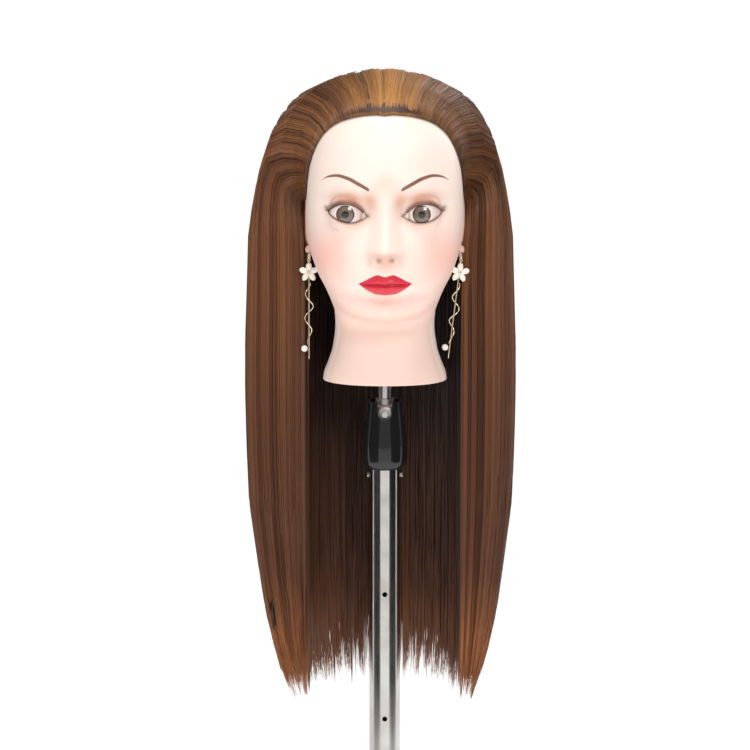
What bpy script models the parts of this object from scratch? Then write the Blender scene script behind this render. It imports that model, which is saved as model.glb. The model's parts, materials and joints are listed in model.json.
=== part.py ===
"""Mannequin training head with drop earrings, on a tilting holder and a folding telescopic tripod.

Metres, +Z up. The face looks along -Y, and the wearer's left side is at +X. The origin lies on the floor, in the
middle of the tripod's footprint. Each moving piece hangs from an empty that stands on its joint.
"""

from math import cos, hypot, pi, radians, sin, sqrt

import bmesh
import bpy
from mathutils import Matrix, Vector

# Clearances
GAP = 0.0003  # between pieces that touch
RUN = 0.0006  # between pieces that slide or turn
SPLIT = 0.0010  # between the locks of hair

# Tripod
LEG_LENGTH = 0.46  # top pivot to the sole
LEG_RADIUS = 0.007
LEG_WALL = 0.0012
LEG_SPREAD = 50.0  # degrees from the column, open
LEG_CLOSED = 8.0  # degrees from the column, folded
LEG_TURNS = (-90.0, 30.0, 150.0)  # degrees round the column, the first one to the front
STRUT_LENGTH = 0.17  # pivot to pivot, and top pivot to strut pivot along the leg
STRUT_STRIP = 0.002
STRUT_DEPTH = 0.010
FORK_START = 0.036  # from the hub pivot to where the strut widens
RIVET_RADIUS = 0.002
RIVET_HEAD_RADIUS = 0.004
RIVET_HEAD = 0.0015
LUG_THICKNESS = 0.003
LUG_RADIUS = 0.008
RING_WALL = 0.0055
RING_HEIGHT = 0.028
FOOT_RADIUS = 0.0115
FOOT_LENGTH = 0.042
FOOT_PAST_LEG = 0.012  # rubber beyond the end of the tube

# Column
OUTER_RADIUS = 0.0175
OUTER_WALL = 0.0015
OUTER_LENGTH = 0.415
INNER_RADIUS = 0.0145
INNER_WALL = 0.0012
INNER_LENGTH = 0.472
INNER_SHOWN = 0.272  # from the clamp collar to the top of the inner tube
HOLE_RADIUS = 0.00235
HOLE_PITCH = 0.1175
FIRST_HOLE = 0.1155  # below the top of the inner tube
HOLE_COUNT = 3
CLAMP_RADIUS = 0.0225
CLAMP_HEIGHT = 0.042
BOSS_RADIUS = 0.0085
BOSS_REACH = 0.0290  # from the column's axis
CLAMP_SCREW_RADIUS = 0.003
CLAMP_PAD_RADIUS = 0.0036
CLAMP_PAD_LENGTH = 0.0045
KNOB_RADIUS = 0.0150
KNOB_LENGTH = 0.0170
KNOB_LOBES = 8
PLUG_HEIGHT = 0.020

# Tilt joint
JOINT_RISE = 0.051  # top of the inner tube to the tilt pin
NECK_RISE = 0.032  # tilt pin to the bottom of the neck
ROD_RADIUS = 0.00675
ROD_FOOT = 0.0088  # rod's lower end above the tilt pin
KNUCKLE_RADIUS = 0.0125
KNUCKLE_NECK_RADIUS = 0.0086
KNUCKLE_TOP = 0.0140
TONGUE_THICKNESS = 0.008
TONGUE_RADIUS = 0.0066
PIN_RADIUS = 0.0025
PIN_HEAD_RADIUS = 0.0031
PIN_HEAD = 0.0012
SHANK_RADIUS = 0.0105
SHANK_FLANGE_RADIUS = 0.0132
SHANK_FLANGE_DROP = 0.0150  # flange's underside below the pin
SHANK_FLANGE = 0.0022
SHANK_IN_TUBE = 0.040
GROOVE_DEPTH = 0.0020
GROOVE_WIDTH = 0.0045
SHANK_SCREW_DROP = 0.0060  # below the top of the tube
SHANK_SCREW_RADIUS = 0.0015
SHANK_SCREW_HEAD_RADIUS = 0.0030
SHANK_SCREW_HEAD = 0.0016
BUSH_FLANGE = 0.0020
SLEEVE_TOP_RISE = 0.0120  # above the pin
SLEEVE_FOOT_DROP = 0.0485  # below the pin
SLEEVE_MOUTH_RADIUS = 0.0165
SLEEVE_BELLY_RADIUS = 0.0205
SLEEVE_MOUTH_BORE = 0.0147
SLEEVE_SKIRT_BORE = 0.0176
SLEEVE_SHOULDER = 0.0050
SLEEVE_TRAVEL = 0.0120
NOTCH_WIDTH = 0.0135
NOTCH_DROP = 0.0040  # bottom of the notch below the pin
SPRING_WIRE = 0.0008
SPRING_TURNS = 5

# Head, in shares of its height, half width and half depth
HEAD_HEIGHT = 0.272  # bottom of the neck to the top of the skull
HEAD_WIDTH = 0.138
HEAD_DEPTH = 0.198  # brow to the back of the skull
FACE_SHIFT = 0.0040  # middle of the skull behind the column's axis
HEAD_WALL = 0.0035
NECK_WIDTH = 0.111
NOSE_REACH = 0.0170
EYE_RADIUS = 0.0125
EYE_SPACING = 0.066
EYE_HEIGHT = 0.1575
EYE_DEPTH = 0.0735  # centre of the eye in front of the column's axis
NECK_PLATE = 0.004
SOCKET_RADIUS = 0.0115
SOCKET_FLANGE_RADIUS = 0.0200
SOCKET_FLANGE = 0.0025
SOCKET_LENGTH = 0.052
ROD_IN_NECK = 0.045
EAR_HEIGHT = 0.146
EAR_BACK = 0.013
EAR_SIZE = (0.0075, 0.0165, 0.0305)  # half sizes
LOBE_RADIUS = 0.0062
LOBE_HEIGHT = 0.1165
LOBE_BACK = 0.002

# Hair
HAIR_DROP = 0.300  # tips below the bottom of the neck
HAIR_TOP = 0.0095  # over the skull
HAIR_SIDE_RIGHT = 0.060  # beyond the head, on the wearer's right, at -X
HAIR_SIDE_LEFT = 0.052
HAIR_BACK = 0.016
HAIR_INNER_HALF = 0.070  # from the middle to the inside of a side lock
HAIR_INNER_BACK = 0.072  # from the column's axis to the inside of the back hair
HAIR_FRONT = 0.003  # front of the side locks behind the column's axis
HAIRLINE = 0.242
HANG_RADIUS = 0.130  # the free lengths begin on this cylinder round the tilt pin
SIDE_TO_BACK = 0.066  # the side locks reach this far behind the column's axis
CROWN_FOOT = 0.100  # the crown and the side locks meet at this height

# Earrings, heights above the bottom of the neck
STUD_RADIUS = 0.0025
POST_RADIUS = 0.0006
STUD_HEIGHT = 0.1145
EARRING_SPREAD = 0.0690  # from the middle of the head
LOOP_RADIUS = 0.0013
LOOP_WIRE = 0.0004
LINK_RADIUS = 0.0030
LINK_WIRE = 0.00045
FLOWER_RADIUS = 0.0087
FLOWER_THICKNESS = 0.0016
PETALS = 5
BAR_RADIUS = 0.0006
BAR_LENGTH = 0.071
VINE_WIRE = 0.00055
VINE_REACH = 0.0042
VINE_TURNS = 2.5
PEARL_RADIUS = 0.0030
LEFT_LEAN = 7.0  # degrees, the wearer's left earring rests against the hair

ROUND = 20  # sides of a turned piece
FINE = 12  # sides of a small turned piece
OVAL_POINTS = 28  # points round the head and the hair

# Heights and places that follow from the sizes above
TOP_PIVOT_Z = LEG_LENGTH * cos(radians(LEG_SPREAD))
HUB_PIVOT_Z = TOP_PIVOT_Z - 2 * STRUT_LENGTH * cos(radians(LEG_SPREAD))
RING_RADIUS = OUTER_RADIUS + GAP + RING_WALL
PIVOT_RADIUS = RING_RADIUS + hypot(LEG_RADIUS, LEG_RADIUS) + 2 * RUN
FOOT_REACH = PIVOT_RADIUS + LEG_LENGTH * sin(radians(LEG_SPREAD))
FOOT_PLACES = [FOOT_REACH * sin(radians(turn)) for turn in LEG_TURNS]
COLUMN_Y = -(min(FOOT_PLACES) + max(FOOT_PLACES)) / 2
OUTER_FOOT_Z = HUB_PIVOT_Z - RING_HEIGHT / 2
OUTER_TOP_Z = OUTER_FOOT_Z + OUTER_LENGTH
INNER_TOP_Z = OUTER_TOP_Z + INNER_SHOWN
PIN_Z = INNER_TOP_Z + JOINT_RISE
NECK_Z = PIN_Z + NECK_RISE
CLAMP_Z = OUTER_TOP_Z - CLAMP_HEIGHT / 2
LUG_INSIDE = LEG_RADIUS + RUN


# Materials


def material(name, colour, roughness, metallic=0.0):
    made = bpy.data.materials.new(name)
    made.use_nodes = True
    shader = made.node_tree.nodes["Principled BSDF"]
    shader.inputs["Base Color"].default_value = (*colour, 1.0)
    shader.inputs["Roughness"].default_value = roughness
    shader.inputs["Metallic"].default_value = metallic
    made.diffuse_color = (*colour, 1.0)
    return made


# Shapes


def profile_curve(points):
    """A smooth function through (place, value) points that never overshoots them."""
    places = [p[0] for p in points]
    values = [p[1] for p in points]
    rises = [(values[i + 1] - values[i]) / (places[i + 1] - places[i]) for i in range(len(points) - 1)]
    slopes = [rises[0]]
    for before, after in zip(rises, rises[1:]):
        slopes.append(0.0 if before * after <= 0 else 2 * before * after / (before + after))
    slopes.append(rises[-1])

    def value(place):
        place = min(max(place, places[0]), places[-1])
        i = max(j for j in range(len(places) - 1) if place >= places[j])
        width = places[i + 1] - places[i]
        t = (place - places[i]) / width
        rise = values[i + 1] - values[i]
        ease = values[i] + rise * t * t * (3 - 2 * t)
        return ease + width * t * (1 - t) * (slopes[i] * (1 - t) - slopes[i + 1] * t)

    return value


def turned(profile, steps=ROUND):
    """A solid of revolution round Z. The profile's points are (radius, z), and it closes itself off the axis."""
    bm = bmesh.new()
    verts = [bm.verts.new((r, 0, z)) for r, z in profile]
    edges = [bm.edges.new(pair) for pair in zip(verts, verts[1:])]
    if profile[0][0] > 0:
        edges.append(bm.edges.new((verts[-1], verts[0])))
    bmesh.ops.spin(
        bm, geom=verts + edges, cent=(0, 0, 0), axis=(0, 0, 1), angle=2 * pi, steps=steps, use_merge=True
    )
    bmesh.ops.remove_doubles(bm, verts=bm.verts, dist=1e-7)
    return bm


def rod_shape(radius, low, high, steps=ROUND, chamfer=0.0):
    return turned(
        [(0, low), (radius - chamfer, low), (radius, low + chamfer), (radius, high - chamfer)]
        + [(radius - chamfer, high), (0, high)]
        if chamfer
        else [(0, low), (radius, low), (radius, high), (0, high)],
        steps,
    )


def ring_shape(outer, inner, low, high, steps=ROUND):
    return turned([(outer, low), (outer, high), (inner, high), (inner, low)], steps)


def ball_shape(radius, centre=(0, 0, 0), scale=(1, 1, 1), steps=FINE):
    bm = bmesh.new()
    bmesh.ops.create_uvsphere(bm, u_segments=steps, v_segments=steps // 2, radius=radius)
    bmesh.ops.scale(bm, vec=scale, verts=bm.verts)
    bmesh.ops.translate(bm, vec=centre, verts=bm.verts)
    return bm


def torus_shape(radius, wire, steps=FINE, sides=8):
    ring = [(radius + wire * cos(2 * pi * i / sides), wire * sin(2 * pi * i / sides)) for i in range(sides)]
    return turned(ring, steps)


def slab_shape(outline, low, high):
    """An (x, y) outline extruded along Z."""
    bm = bmesh.new()
    face = bm.faces.new([bm.verts.new((x, y, low)) for x, y in outline])
    grown = bmesh.ops.extrude_face_region(bm, geom=[face])["geom"]
    bmesh.ops.translate(bm, vec=(0, 0, high - low), verts=[v for v in grown if isinstance(v, bmesh.types.BMVert)])
    return bm


def loft_shape(rings):
    """Closed rings of equal count, bridged in order and closed at both ends."""
    bm = bmesh.new()
    loops = []
    for ring in rings:
        verts = [bm.verts.new(p) for p in ring]
        loops.append([bm.edges.new(pair) for pair in zip(verts, verts[1:] + verts[:1])])
    bm.verts.ensure_lookup_table()
    count = len(rings[0])
    bm.faces.new(bm.verts[:count])
    bm.faces.new(bm.verts[-count:])
    for low, high in zip(loops, loops[1:]):
        bmesh.ops.bridge_loops(bm, edges=low + high)
    return bm


def turn(bm, degrees, axis, centre=(0, 0, 0)):
    bmesh.ops.rotate(bm, cent=centre, matrix=Matrix.Rotation(radians(degrees), 3, axis), verts=bm.verts)
    return bm


def shift(bm, offset):
    bmesh.ops.translate(bm, vec=offset, verts=bm.verts)
    return bm


def oval(z, right, left, front, back, squareness=2.2, count=OVAL_POINTS):
    """A ring at height z with its own half width to each side, and its own front and back."""
    ring = []
    middle = (front + back) / 2
    for i in range(count):
        angle = 2 * pi * i / count
        x, y = cos(angle), sin(angle)
        x = abs(x) ** (2 / squareness) * (left if x > 0 else -right)
        y = abs(y) ** (2 / squareness) * (1 if y > 0 else -1) * (back - front) / 2
        ring.append((x, middle + y, z))
    return ring


# Objects


def body(name, place, parent=None, turns=(0, 0, 0)):
    """The empty that a moving body's pieces hang from. Its place is in its parent's frame."""
    empty = bpy.data.objects.new(name, None)
    bpy.context.scene.collection.objects.link(empty)
    empty.location = place
    empty.rotation_euler = turns
    empty.parent = parent
    return empty


def piece(name, bm, parent, finish, helper=False):
    bmesh.ops.recalc_face_normals(bm, faces=bm.faces)
    mesh = bpy.data.meshes.new(name)
    bm.to_mesh(mesh)
    bm.free()
    mesh.shade_smooth()
    mesh.set_sharp_from_angle(angle=radians(35))
    obj = bpy.data.objects.new(name, mesh)
    bpy.context.scene.collection.objects.link(obj)
    obj.parent = parent
    if helper:
        obj.hide_render = True
        obj.display_type = "WIRE"
    else:
        mesh.materials.append(finish)
    return obj


def boolean(target, operation, bm):
    """Cuts, joins or keeps with a hidden helper that lies in the target's own frame."""
    helper = piece(f"{target.name}_{operation.lower()}_{len(target.modifiers)}", bm, target.parent, None, True)
    modifier = target.modifiers.new(helper.name, "BOOLEAN")
    modifier.operation = operation
    modifier.solver = "EXACT"
    modifier.object = helper


def wire_piece(name, points, radius, parent, finish, sides=1):
    curve = bpy.data.curves.new(name, "CURVE")
    curve.dimensions = "3D"
    curve.bevel_depth = radius
    curve.bevel_resolution = sides
    curve.use_fill_caps = True
    spline = curve.splines.new("POLY")
    spline.points.add(len(points) - 1)
    for point, place in zip(spline.points, points):
        point.co = (*place, 1)
    obj = bpy.data.objects.new(name, curve)
    bpy.context.scene.collection.objects.link(obj)
    obj.parent = parent
    curve.materials.append(finish)
    return obj


def joined(shapes):
    """Several closed shapes that don't touch, in one helper."""
    bm = bmesh.new()
    for shape in shapes:
        mesh = bpy.data.meshes.new("shape")
        shape.to_mesh(mesh)
        shape.free()
        bm.from_mesh(mesh)
        bpy.data.meshes.remove(mesh)
    return bm


def prism(outline, axis, half=0.3):
    """An outline extruded both ways along X or Y. Its points are (y, z) or (x, z)."""
    bm = slab_shape(outline, -half, half)
    swap = Matrix(((0, 0, 1), (1, 0, 0), (0, 1, 0))) if axis == "X" else Matrix(((1, 0, 0), (0, 0, 1), (0, 1, 0)))
    bmesh.ops.transform(bm, matrix=swap.to_4x4(), verts=bm.verts)
    return bm


def block(low, high):
    bm = bmesh.new()
    bmesh.ops.create_cube(bm, size=1)
    bmesh.ops.scale(bm, vec=[b - a for a, b in zip(low, high)], verts=bm.verts)
    return shift(bm, [(a + b) / 2 for a, b in zip(low, high)])


def bore(radius, axis, reach, centre=(0, 0, 0), steps=FINE):
    """A round cutter along X or Y, from reach[0] to reach[1]."""
    bm = rod_shape(radius, reach[0], reach[1], steps)
    turn(bm, 90 if axis == "X" else -90, "Y" if axis == "X" else "X")
    return shift(bm, centre)


def rivet(name, radius, head_radius, head, half, parent, finish, place=(0, 0, 0)):
    """A pin along Y with a head on each end."""
    bm = turned(
        [(0, -half - head), (head_radius, -half - head), (head_radius, -half), (radius, -half)]
        + [(radius, half), (head_radius, half), (head_radius, half + head), (0, half + head)],
        10,
    )
    return piece(name, shift(turn(bm, 90, "X"), place), parent, finish)


# Tripod


def lugs(obj, height):
    """Three pairs of ears with pin holes, at the given height of a ring's own frame."""
    width = LUG_INSIDE + LUG_THICKNESS
    ears, slots, holes = [], [], []
    for leg_turn in LEG_TURNS:
        arc = [radians(-90 + 180 * i / 8) for i in range(9)]
        outline = [(RING_RADIUS - RING_WALL / 2, LUG_RADIUS), (RING_RADIUS - RING_WALL / 2, -LUG_RADIUS)]
        outline += [(PIVOT_RADIUS + LUG_RADIUS * cos(a), LUG_RADIUS * sin(a)) for a in arc]
        ears.append(turn(prism(outline, "Y", width), leg_turn, "Z"))
        reach = PIVOT_RADIUS + 2 * LUG_RADIUS
        slots.append(turn(block((RING_RADIUS + GAP, -LUG_INSIDE, -0.1), (reach, LUG_INSIDE, 0.1)), leg_turn, "Z"))
        hole = bore(RIVET_RADIUS + GAP, "Y", (-2 * width, 2 * width), (PIVOT_RADIUS, 0, 0), 12)
        holes.append(turn(hole, leg_turn, "Z"))
    for operation, shapes in (("UNION", ears), ("DIFFERENCE", slots), ("DIFFERENCE", holes)):
        boolean(obj, operation, shift(joined(shapes), (0, 0, height)))


def lug_pins(name, height, parent, finish):
    for number, leg_turn in enumerate(LEG_TURNS, 1):
        half = LUG_INSIDE + LUG_THICKNESS + GAP
        pin = rivet(f"{name}_{number}", RIVET_RADIUS, RIVET_HEAD_RADIUS, RIVET_HEAD, half, parent, finish)
        angle = radians(leg_turn)
        pin.location = (PIVOT_RADIUS * cos(angle), PIVOT_RADIUS * sin(angle), height)
        pin.rotation_euler = (0, 0, angle)


def make_hub(stand, plastic, steel):
    low = HUB_PIVOT_Z - RING_HEIGHT / 2
    high = HUB_PIVOT_Z + RING_HEIGHT / 2
    fit = OUTER_RADIUS + GAP
    floor = low + RING_WALL / 2
    cup = turned([(0, low), (RING_RADIUS, low), (RING_RADIUS, high), (fit, high), (fit, floor), (0, floor)])
    hub = piece("bottom_hub", cup, stand, plastic)
    lugs(hub, HUB_PIVOT_Z)
    lug_pins("hub_pin", HUB_PIVOT_Z, stand, steel)


def make_leg_ring(stand, plastic, steel):
    ring_body = body("leg_ring_body", (0, 0, TOP_PIVOT_Z), stand)
    bm = ring_shape(RING_RADIUS, OUTER_RADIUS + GAP, -RING_HEIGHT / 2, RING_HEIGHT / 2)
    ring = piece("leg_ring", bm, ring_body, plastic)
    lugs(ring, 0)
    lug_pins("ring_pin", 0, ring_body, steel)


def strut_shape():
    end = STRUT_DEPTH / 2
    inside = LEG_RADIUS + RUN
    outside = inside + STRUT_STRIP
    half = [(-end, LEG_RADIUS), (FORK_START - end, LEG_RADIUS), (FORK_START + end, outside)]
    half += [(STRUT_LENGTH + end, outside), (STRUT_LENGTH + end, inside), (FORK_START + 1.5 * end, inside)]
    bm = slab_shape(half + [(x, -y) for x, y in reversed(half)], -end, end)
    return turn(bm, -90, "Y")


def make_leg(number, stand, steel, painted, rubber):
    angle = radians(LEG_TURNS[number - 1])
    out = (PIVOT_RADIUS * cos(angle), PIVOT_RADIUS * sin(angle))
    spread = radians(LEG_SPREAD)

    strut_body = body(f"strut_{number}_body", (*out, HUB_PIVOT_Z), stand, (0, spread, angle))
    strut = piece(f"strut_{number}", strut_shape(), strut_body, painted)
    for height in (0, STRUT_LENGTH):
        boolean(strut, "DIFFERENCE", bore(RIVET_RADIUS + GAP, "Y", (-0.03, 0.03), (0, 0, height), 12))
    half = LEG_RADIUS + RUN + STRUT_STRIP + GAP
    place = (0, 0, STRUT_LENGTH)
    rivet(f"strut_pin_{number}", RIVET_RADIUS, RIVET_HEAD_RADIUS, RIVET_HEAD, half, strut_body, steel, place)

    leg_body = body(f"leg_{number}_body", (*out, TOP_PIVOT_Z), stand, (0, -spread, angle))
    bottom = -LEG_LENGTH + FOOT_PAST_LEG
    bm = ring_shape(LEG_RADIUS, LEG_RADIUS - LEG_WALL, bottom, LEG_RADIUS, FINE)
    leg = piece(f"leg_{number}", bm, leg_body, steel)
    for height in (0, -STRUT_LENGTH):
        boolean(leg, "DIFFERENCE", bore(RIVET_RADIUS + GAP, "Y", (-0.03, 0.03), (0, 0, height), 12))

    grip = LEG_RADIUS + GAP
    top = -LEG_LENGTH + FOOT_LENGTH
    boot = turned(
        [(0, -LEG_LENGTH - FOOT_RADIUS), (FOOT_RADIUS, -LEG_LENGTH - FOOT_RADIUS), (FOOT_RADIUS, bottom)]
        + [(grip + LEG_WALL, top), (grip, top), (grip, bottom - GAP), (0, bottom - GAP)],
        FINE,
    )
    down = Vector((-sin(spread), 0, -cos(spread)))
    everything = boot.verts[:] + boot.edges[:] + boot.faces[:]
    cut = bmesh.ops.bisect_plane(
        boot, geom=everything, plane_co=(0, 0, -LEG_LENGTH), plane_no=down, clear_outer=True
    )
    rim = [e for e in cut["geom_cut"] if isinstance(e, bmesh.types.BMEdge)]
    bmesh.ops.edgeloop_fill(boot, edges=rim)
    piece(f"foot_{number}", boot, leg_body, rubber)


# Column


def make_outer_column(stand, steel, plastic):
    front = (-OUTER_RADIUS - CLAMP_RADIUS, -INNER_RADIUS / 2)
    foot = OUTER_FOOT_Z + RING_WALL / 2 + GAP
    window = CLAMP_PAD_RADIUS + RUN

    bm = ring_shape(OUTER_RADIUS, OUTER_RADIUS - OUTER_WALL, foot, OUTER_TOP_Z)
    tube = piece("outer_tube", bm, stand, steel)
    boolean(tube, "DIFFERENCE", bore(window, "Y", front, (0, 0, CLAMP_Z)))

    low = OUTER_TOP_Z - CLAMP_HEIGHT
    collar = piece("clamp_collar", ring_shape(CLAMP_RADIUS, OUTER_RADIUS + GAP, low, OUTER_TOP_Z), stand, plastic)
    boss = (-BOSS_REACH, -(OUTER_RADIUS + CLAMP_RADIUS) / 2)
    boolean(collar, "UNION", bore(BOSS_RADIUS, "Y", boss, (0, 0, CLAMP_Z)))
    boolean(collar, "DIFFERENCE", bore(window, "Y", (-CLAMP_RADIUS, 0), (0, 0, CLAMP_Z)))
    boolean(collar, "DIFFERENCE", bore(CLAMP_SCREW_RADIUS + GAP, "Y", (-2 * BOSS_REACH, 0), (0, 0, CLAMP_Z)))

    outside = OUTER_RADIUS - OUTER_WALL - GAP
    inside = INNER_RADIUS + GAP
    lip = OUTER_TOP_Z + GAP
    bm = turned(
        [(outside, low), (outside, lip), (OUTER_RADIUS, lip), (OUTER_RADIUS, lip + BUSH_FLANGE)]
        + [(inside, lip + BUSH_FLANGE), (inside, low)]
    )
    bush = piece("guide_bush", bm, stand, plastic)
    boolean(bush, "DIFFERENCE", bore(window, "Y", front, (0, 0, CLAMP_Z)))


def make_clamp(stand, plastic, steel, brass):
    pad_face = INNER_RADIUS + GAP
    pad_back = pad_face + CLAMP_PAD_LENGTH
    pad_body = body("clamp_pad_body", (0, 0, CLAMP_Z), stand)
    piece("clamp_pad", bore(CLAMP_PAD_RADIUS, "Y", (-pad_back, -pad_face)), pad_body, brass)

    knob_body = body("clamp_knob_body", (0, 0, 0), pad_body)
    start = BOSS_REACH + 2 * RUN
    end = start + KNOB_LENGTH
    screw_end = start + KNOB_LENGTH / 2
    piece("clamp_screw", bore(CLAMP_SCREW_RADIUS, "Y", (-screw_end, -pad_back - GAP)), knob_body, steel)
    rim = []
    for i in range(KNOB_LOBES * 4):
        angle = 2 * pi * i / (KNOB_LOBES * 4)
        reach = KNOB_RADIUS * (1 + 0.07 * cos(KNOB_LOBES * angle))
        rim.append((reach * cos(angle), reach * sin(angle)))
    knob = piece("clamp_knob", turn(slab_shape(rim, start, end), 90, "X"), knob_body, plastic)
    hole = (-screw_end - GAP, 0)
    boolean(knob, "DIFFERENCE", bore(CLAMP_SCREW_RADIUS + GAP, "Y", hole))


def make_inner_column(column, chrome, plastic, steel):
    bm = ring_shape(INNER_RADIUS, INNER_RADIUS - INNER_WALL, -INNER_LENGTH, 0, 24)
    tube = piece("inner_tube", bm, column, chrome)
    holes = []
    for number in range(HOLE_COUNT):
        centre = (0, 0, -FIRST_HOLE - number * HOLE_PITCH)
        holes.append(bore(HOLE_RADIUS, "Y", (-2 * INNER_RADIUS, -INNER_RADIUS / 2), centre, 12))
    boolean(tube, "DIFFERENCE", joined(holes))
    across = (-2 * INNER_RADIUS, 2 * INNER_RADIUS)
    screw_z = (0, 0, -SHANK_SCREW_DROP)
    boolean(tube, "DIFFERENCE", bore(SHANK_SCREW_RADIUS + GAP, "X", across, screw_z, 12))

    fit = INNER_RADIUS - INNER_WALL - GAP
    inside = SHANK_RADIUS + GAP
    bm = turned(
        [(fit, -SHANK_IN_TUBE), (fit, GAP), (INNER_RADIUS, GAP), (INNER_RADIUS, GAP + BUSH_FLANGE)]
        + [(inside, GAP + BUSH_FLANGE), (inside, -SHANK_IN_TUBE)]
    )
    bush = piece("top_bush", bm, column, plastic)
    boolean(bush, "DIFFERENCE", bore(SHANK_SCREW_RADIUS + GAP, "X", across, screw_z, 12))

    tip = SHANK_RADIUS - GROOVE_DEPTH + GAP
    seat = INNER_RADIUS + GAP
    for name, side in (("right", 180), ("left", 0)):
        bm = turned(
            [(0, tip), (SHANK_SCREW_RADIUS, tip), (SHANK_SCREW_RADIUS, seat), (SHANK_SCREW_HEAD_RADIUS, seat)]
            + [(SHANK_SCREW_HEAD_RADIUS * 0.8, seat + SHANK_SCREW_HEAD), (0, seat + SHANK_SCREW_HEAD)],
            FINE,
        )
        screw = piece(f"shank_screw_{name}", turn(bm, 90, "Y"), column, steel)
        screw.location = screw_z
        screw.rotation_euler = (0, 0, radians(side))

    low = -INNER_LENGTH
    wide = OUTER_RADIUS - OUTER_WALL - GAP
    bm = turned(
        [(0, low - GAP - INNER_WALL * 3), (wide, low - GAP - INNER_WALL * 3), (wide, low - GAP)]
        + [(fit, low - GAP), (fit, low + PLUG_HEIGHT), (0, low + PLUG_HEIGHT)]
    )
    piece("end_plug", bm, column, plastic)


# Tilt joint


def make_joint(base, sleeve_body, head, grey, steel, black):
    groove_z = -JOINT_RISE - SHANK_SCREW_DROP
    groove = SHANK_RADIUS - GROOVE_DEPTH
    flange = -SHANK_FLANGE_DROP
    bm = turned(
        [(0, -JOINT_RISE - SHANK_IN_TUBE), (SHANK_RADIUS, -JOINT_RISE - SHANK_IN_TUBE)]
        + [(SHANK_RADIUS, groove_z - GROOVE_WIDTH / 2), (groove, groove_z - GROOVE_WIDTH / 2)]
        + [(groove, groove_z + GROOVE_WIDTH / 2), (SHANK_RADIUS, groove_z + GROOVE_WIDTH / 2)]
        + [(SHANK_RADIUS, flange), (SHANK_FLANGE_RADIUS, flange)]
        + [(SHANK_FLANGE_RADIUS, flange + SHANK_FLANGE), (0, flange + SHANK_FLANGE)]
    )
    shank = piece("joint_shank", bm, base, grey)
    arc = [(TONGUE_RADIUS * cos(pi * i / 12), TONGUE_RADIUS * sin(pi * i / 12)) for i in range(13)]
    tongue = arc + [(-TONGUE_RADIUS, flange + SHANK_FLANGE / 2), (TONGUE_RADIUS, flange + SHANK_FLANGE / 2)]
    boolean(shank, "UNION", prism(tongue, "Y", TONGUE_THICKNESS / 2))
    boolean(shank, "DIFFERENCE", bore(PIN_RADIUS + GAP, "Y", (-0.02, 0.02)))

    cheek = sqrt(KNUCKLE_RADIUS**2 - PIN_HEAD_RADIUS**2) - PIN_HEAD
    rivet("tilt_pin", PIN_RADIUS, PIN_HEAD_RADIUS, PIN_HEAD, cheek + GAP, base, steel)

    knuckle = piece("tilt_knuckle", ball_shape(KNUCKLE_RADIUS, steps=ROUND), head, grey)
    boolean(knuckle, "UNION", rod_shape(KNUCKLE_NECK_RADIUS, 0, KNUCKLE_TOP))
    boolean(knuckle, "INTERSECT", block((-0.02, -cheek, -0.02), (0.02, cheek, 0.03)))
    slot = TONGUE_THICKNESS / 2 + GAP
    boolean(knuckle, "DIFFERENCE", block((-0.02, -slot, -0.02), (0.02, slot, 0)))
    boolean(knuckle, "DIFFERENCE", bore(TONGUE_RADIUS + RUN, "Y", (-slot, slot), steps=ROUND))
    boolean(knuckle, "DIFFERENCE", bore(PIN_RADIUS + GAP, "Y", (-0.02, 0.02)))
    boolean(knuckle, "DIFFERENCE", rod_shape(ROD_RADIUS + GAP, ROD_FOOT - GAP, 0.03))

    rod = rod_shape(ROD_RADIUS, ROD_FOOT, NECK_RISE + ROD_IN_NECK, chamfer=0.0006)
    piece("head_rod", rod, head, steel)

    shoulder = flange - RUN
    bm = turned(
        [(SLEEVE_BELLY_RADIUS - 0.0022, -SLEEVE_FOOT_DROP), (SLEEVE_BELLY_RADIUS - 0.0007, -SLEEVE_FOOT_DROP + 0.0025)]
        + [(SLEEVE_BELLY_RADIUS, -SLEEVE_FOOT_DROP + 0.009), (SLEEVE_BELLY_RADIUS, -SLEEVE_FOOT_DROP + 0.022)]
        + [(SLEEVE_BELLY_RADIUS - 0.0012, -SLEEVE_FOOT_DROP + 0.034), (SLEEVE_MOUTH_RADIUS + 0.0008, 0.004)]
        + [(SLEEVE_MOUTH_RADIUS, SLEEVE_TOP_RISE), (SLEEVE_MOUTH_BORE, SLEEVE_TOP_RISE)]
        + [(SLEEVE_MOUTH_BORE, shoulder), (SHANK_RADIUS + GAP, shoulder)]
        + [(SHANK_RADIUS + GAP, shoulder - SLEEVE_SHOULDER), (SLEEVE_SKIRT_BORE, shoulder - SLEEVE_SHOULDER)]
        + [(SLEEVE_SKIRT_BORE, -SLEEVE_FOOT_DROP)],
        24,
    )
    sleeve = piece("lock_sleeve", bm, sleeve_body, black)
    half = NOTCH_WIDTH / 2
    bottom = [(half * cos(pi + pi * i / 8), half * sin(pi + pi * i / 8) - NOTCH_DROP + half) for i in range(9)]
    notch = bottom + [(half, SLEEVE_TOP_RISE + half), (-half, SLEEVE_TOP_RISE + half)]
    boolean(sleeve, "DIFFERENCE", prism(notch, "Y", 0.03))
    boolean(sleeve, "DIFFERENCE", prism(notch, "X", 0.03))

    low = -JOINT_RISE + 2 * GAP + BUSH_FLANGE + SPRING_WIRE
    high = shoulder - SLEEVE_SHOULDER - GAP - SPRING_WIRE
    coil = SHANK_RADIUS + RUN + SPRING_WIRE
    points = []
    steps = SPRING_TURNS * 10
    for i in range(steps + 1):
        angle = 2 * pi * SPRING_TURNS * i / steps
        points.append((coil * cos(angle), coil * sin(angle), low + (high - low) * i / steps))
    wire_piece("sleeve_spring", points, SPRING_WIRE, base, steel)


# Head


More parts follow.
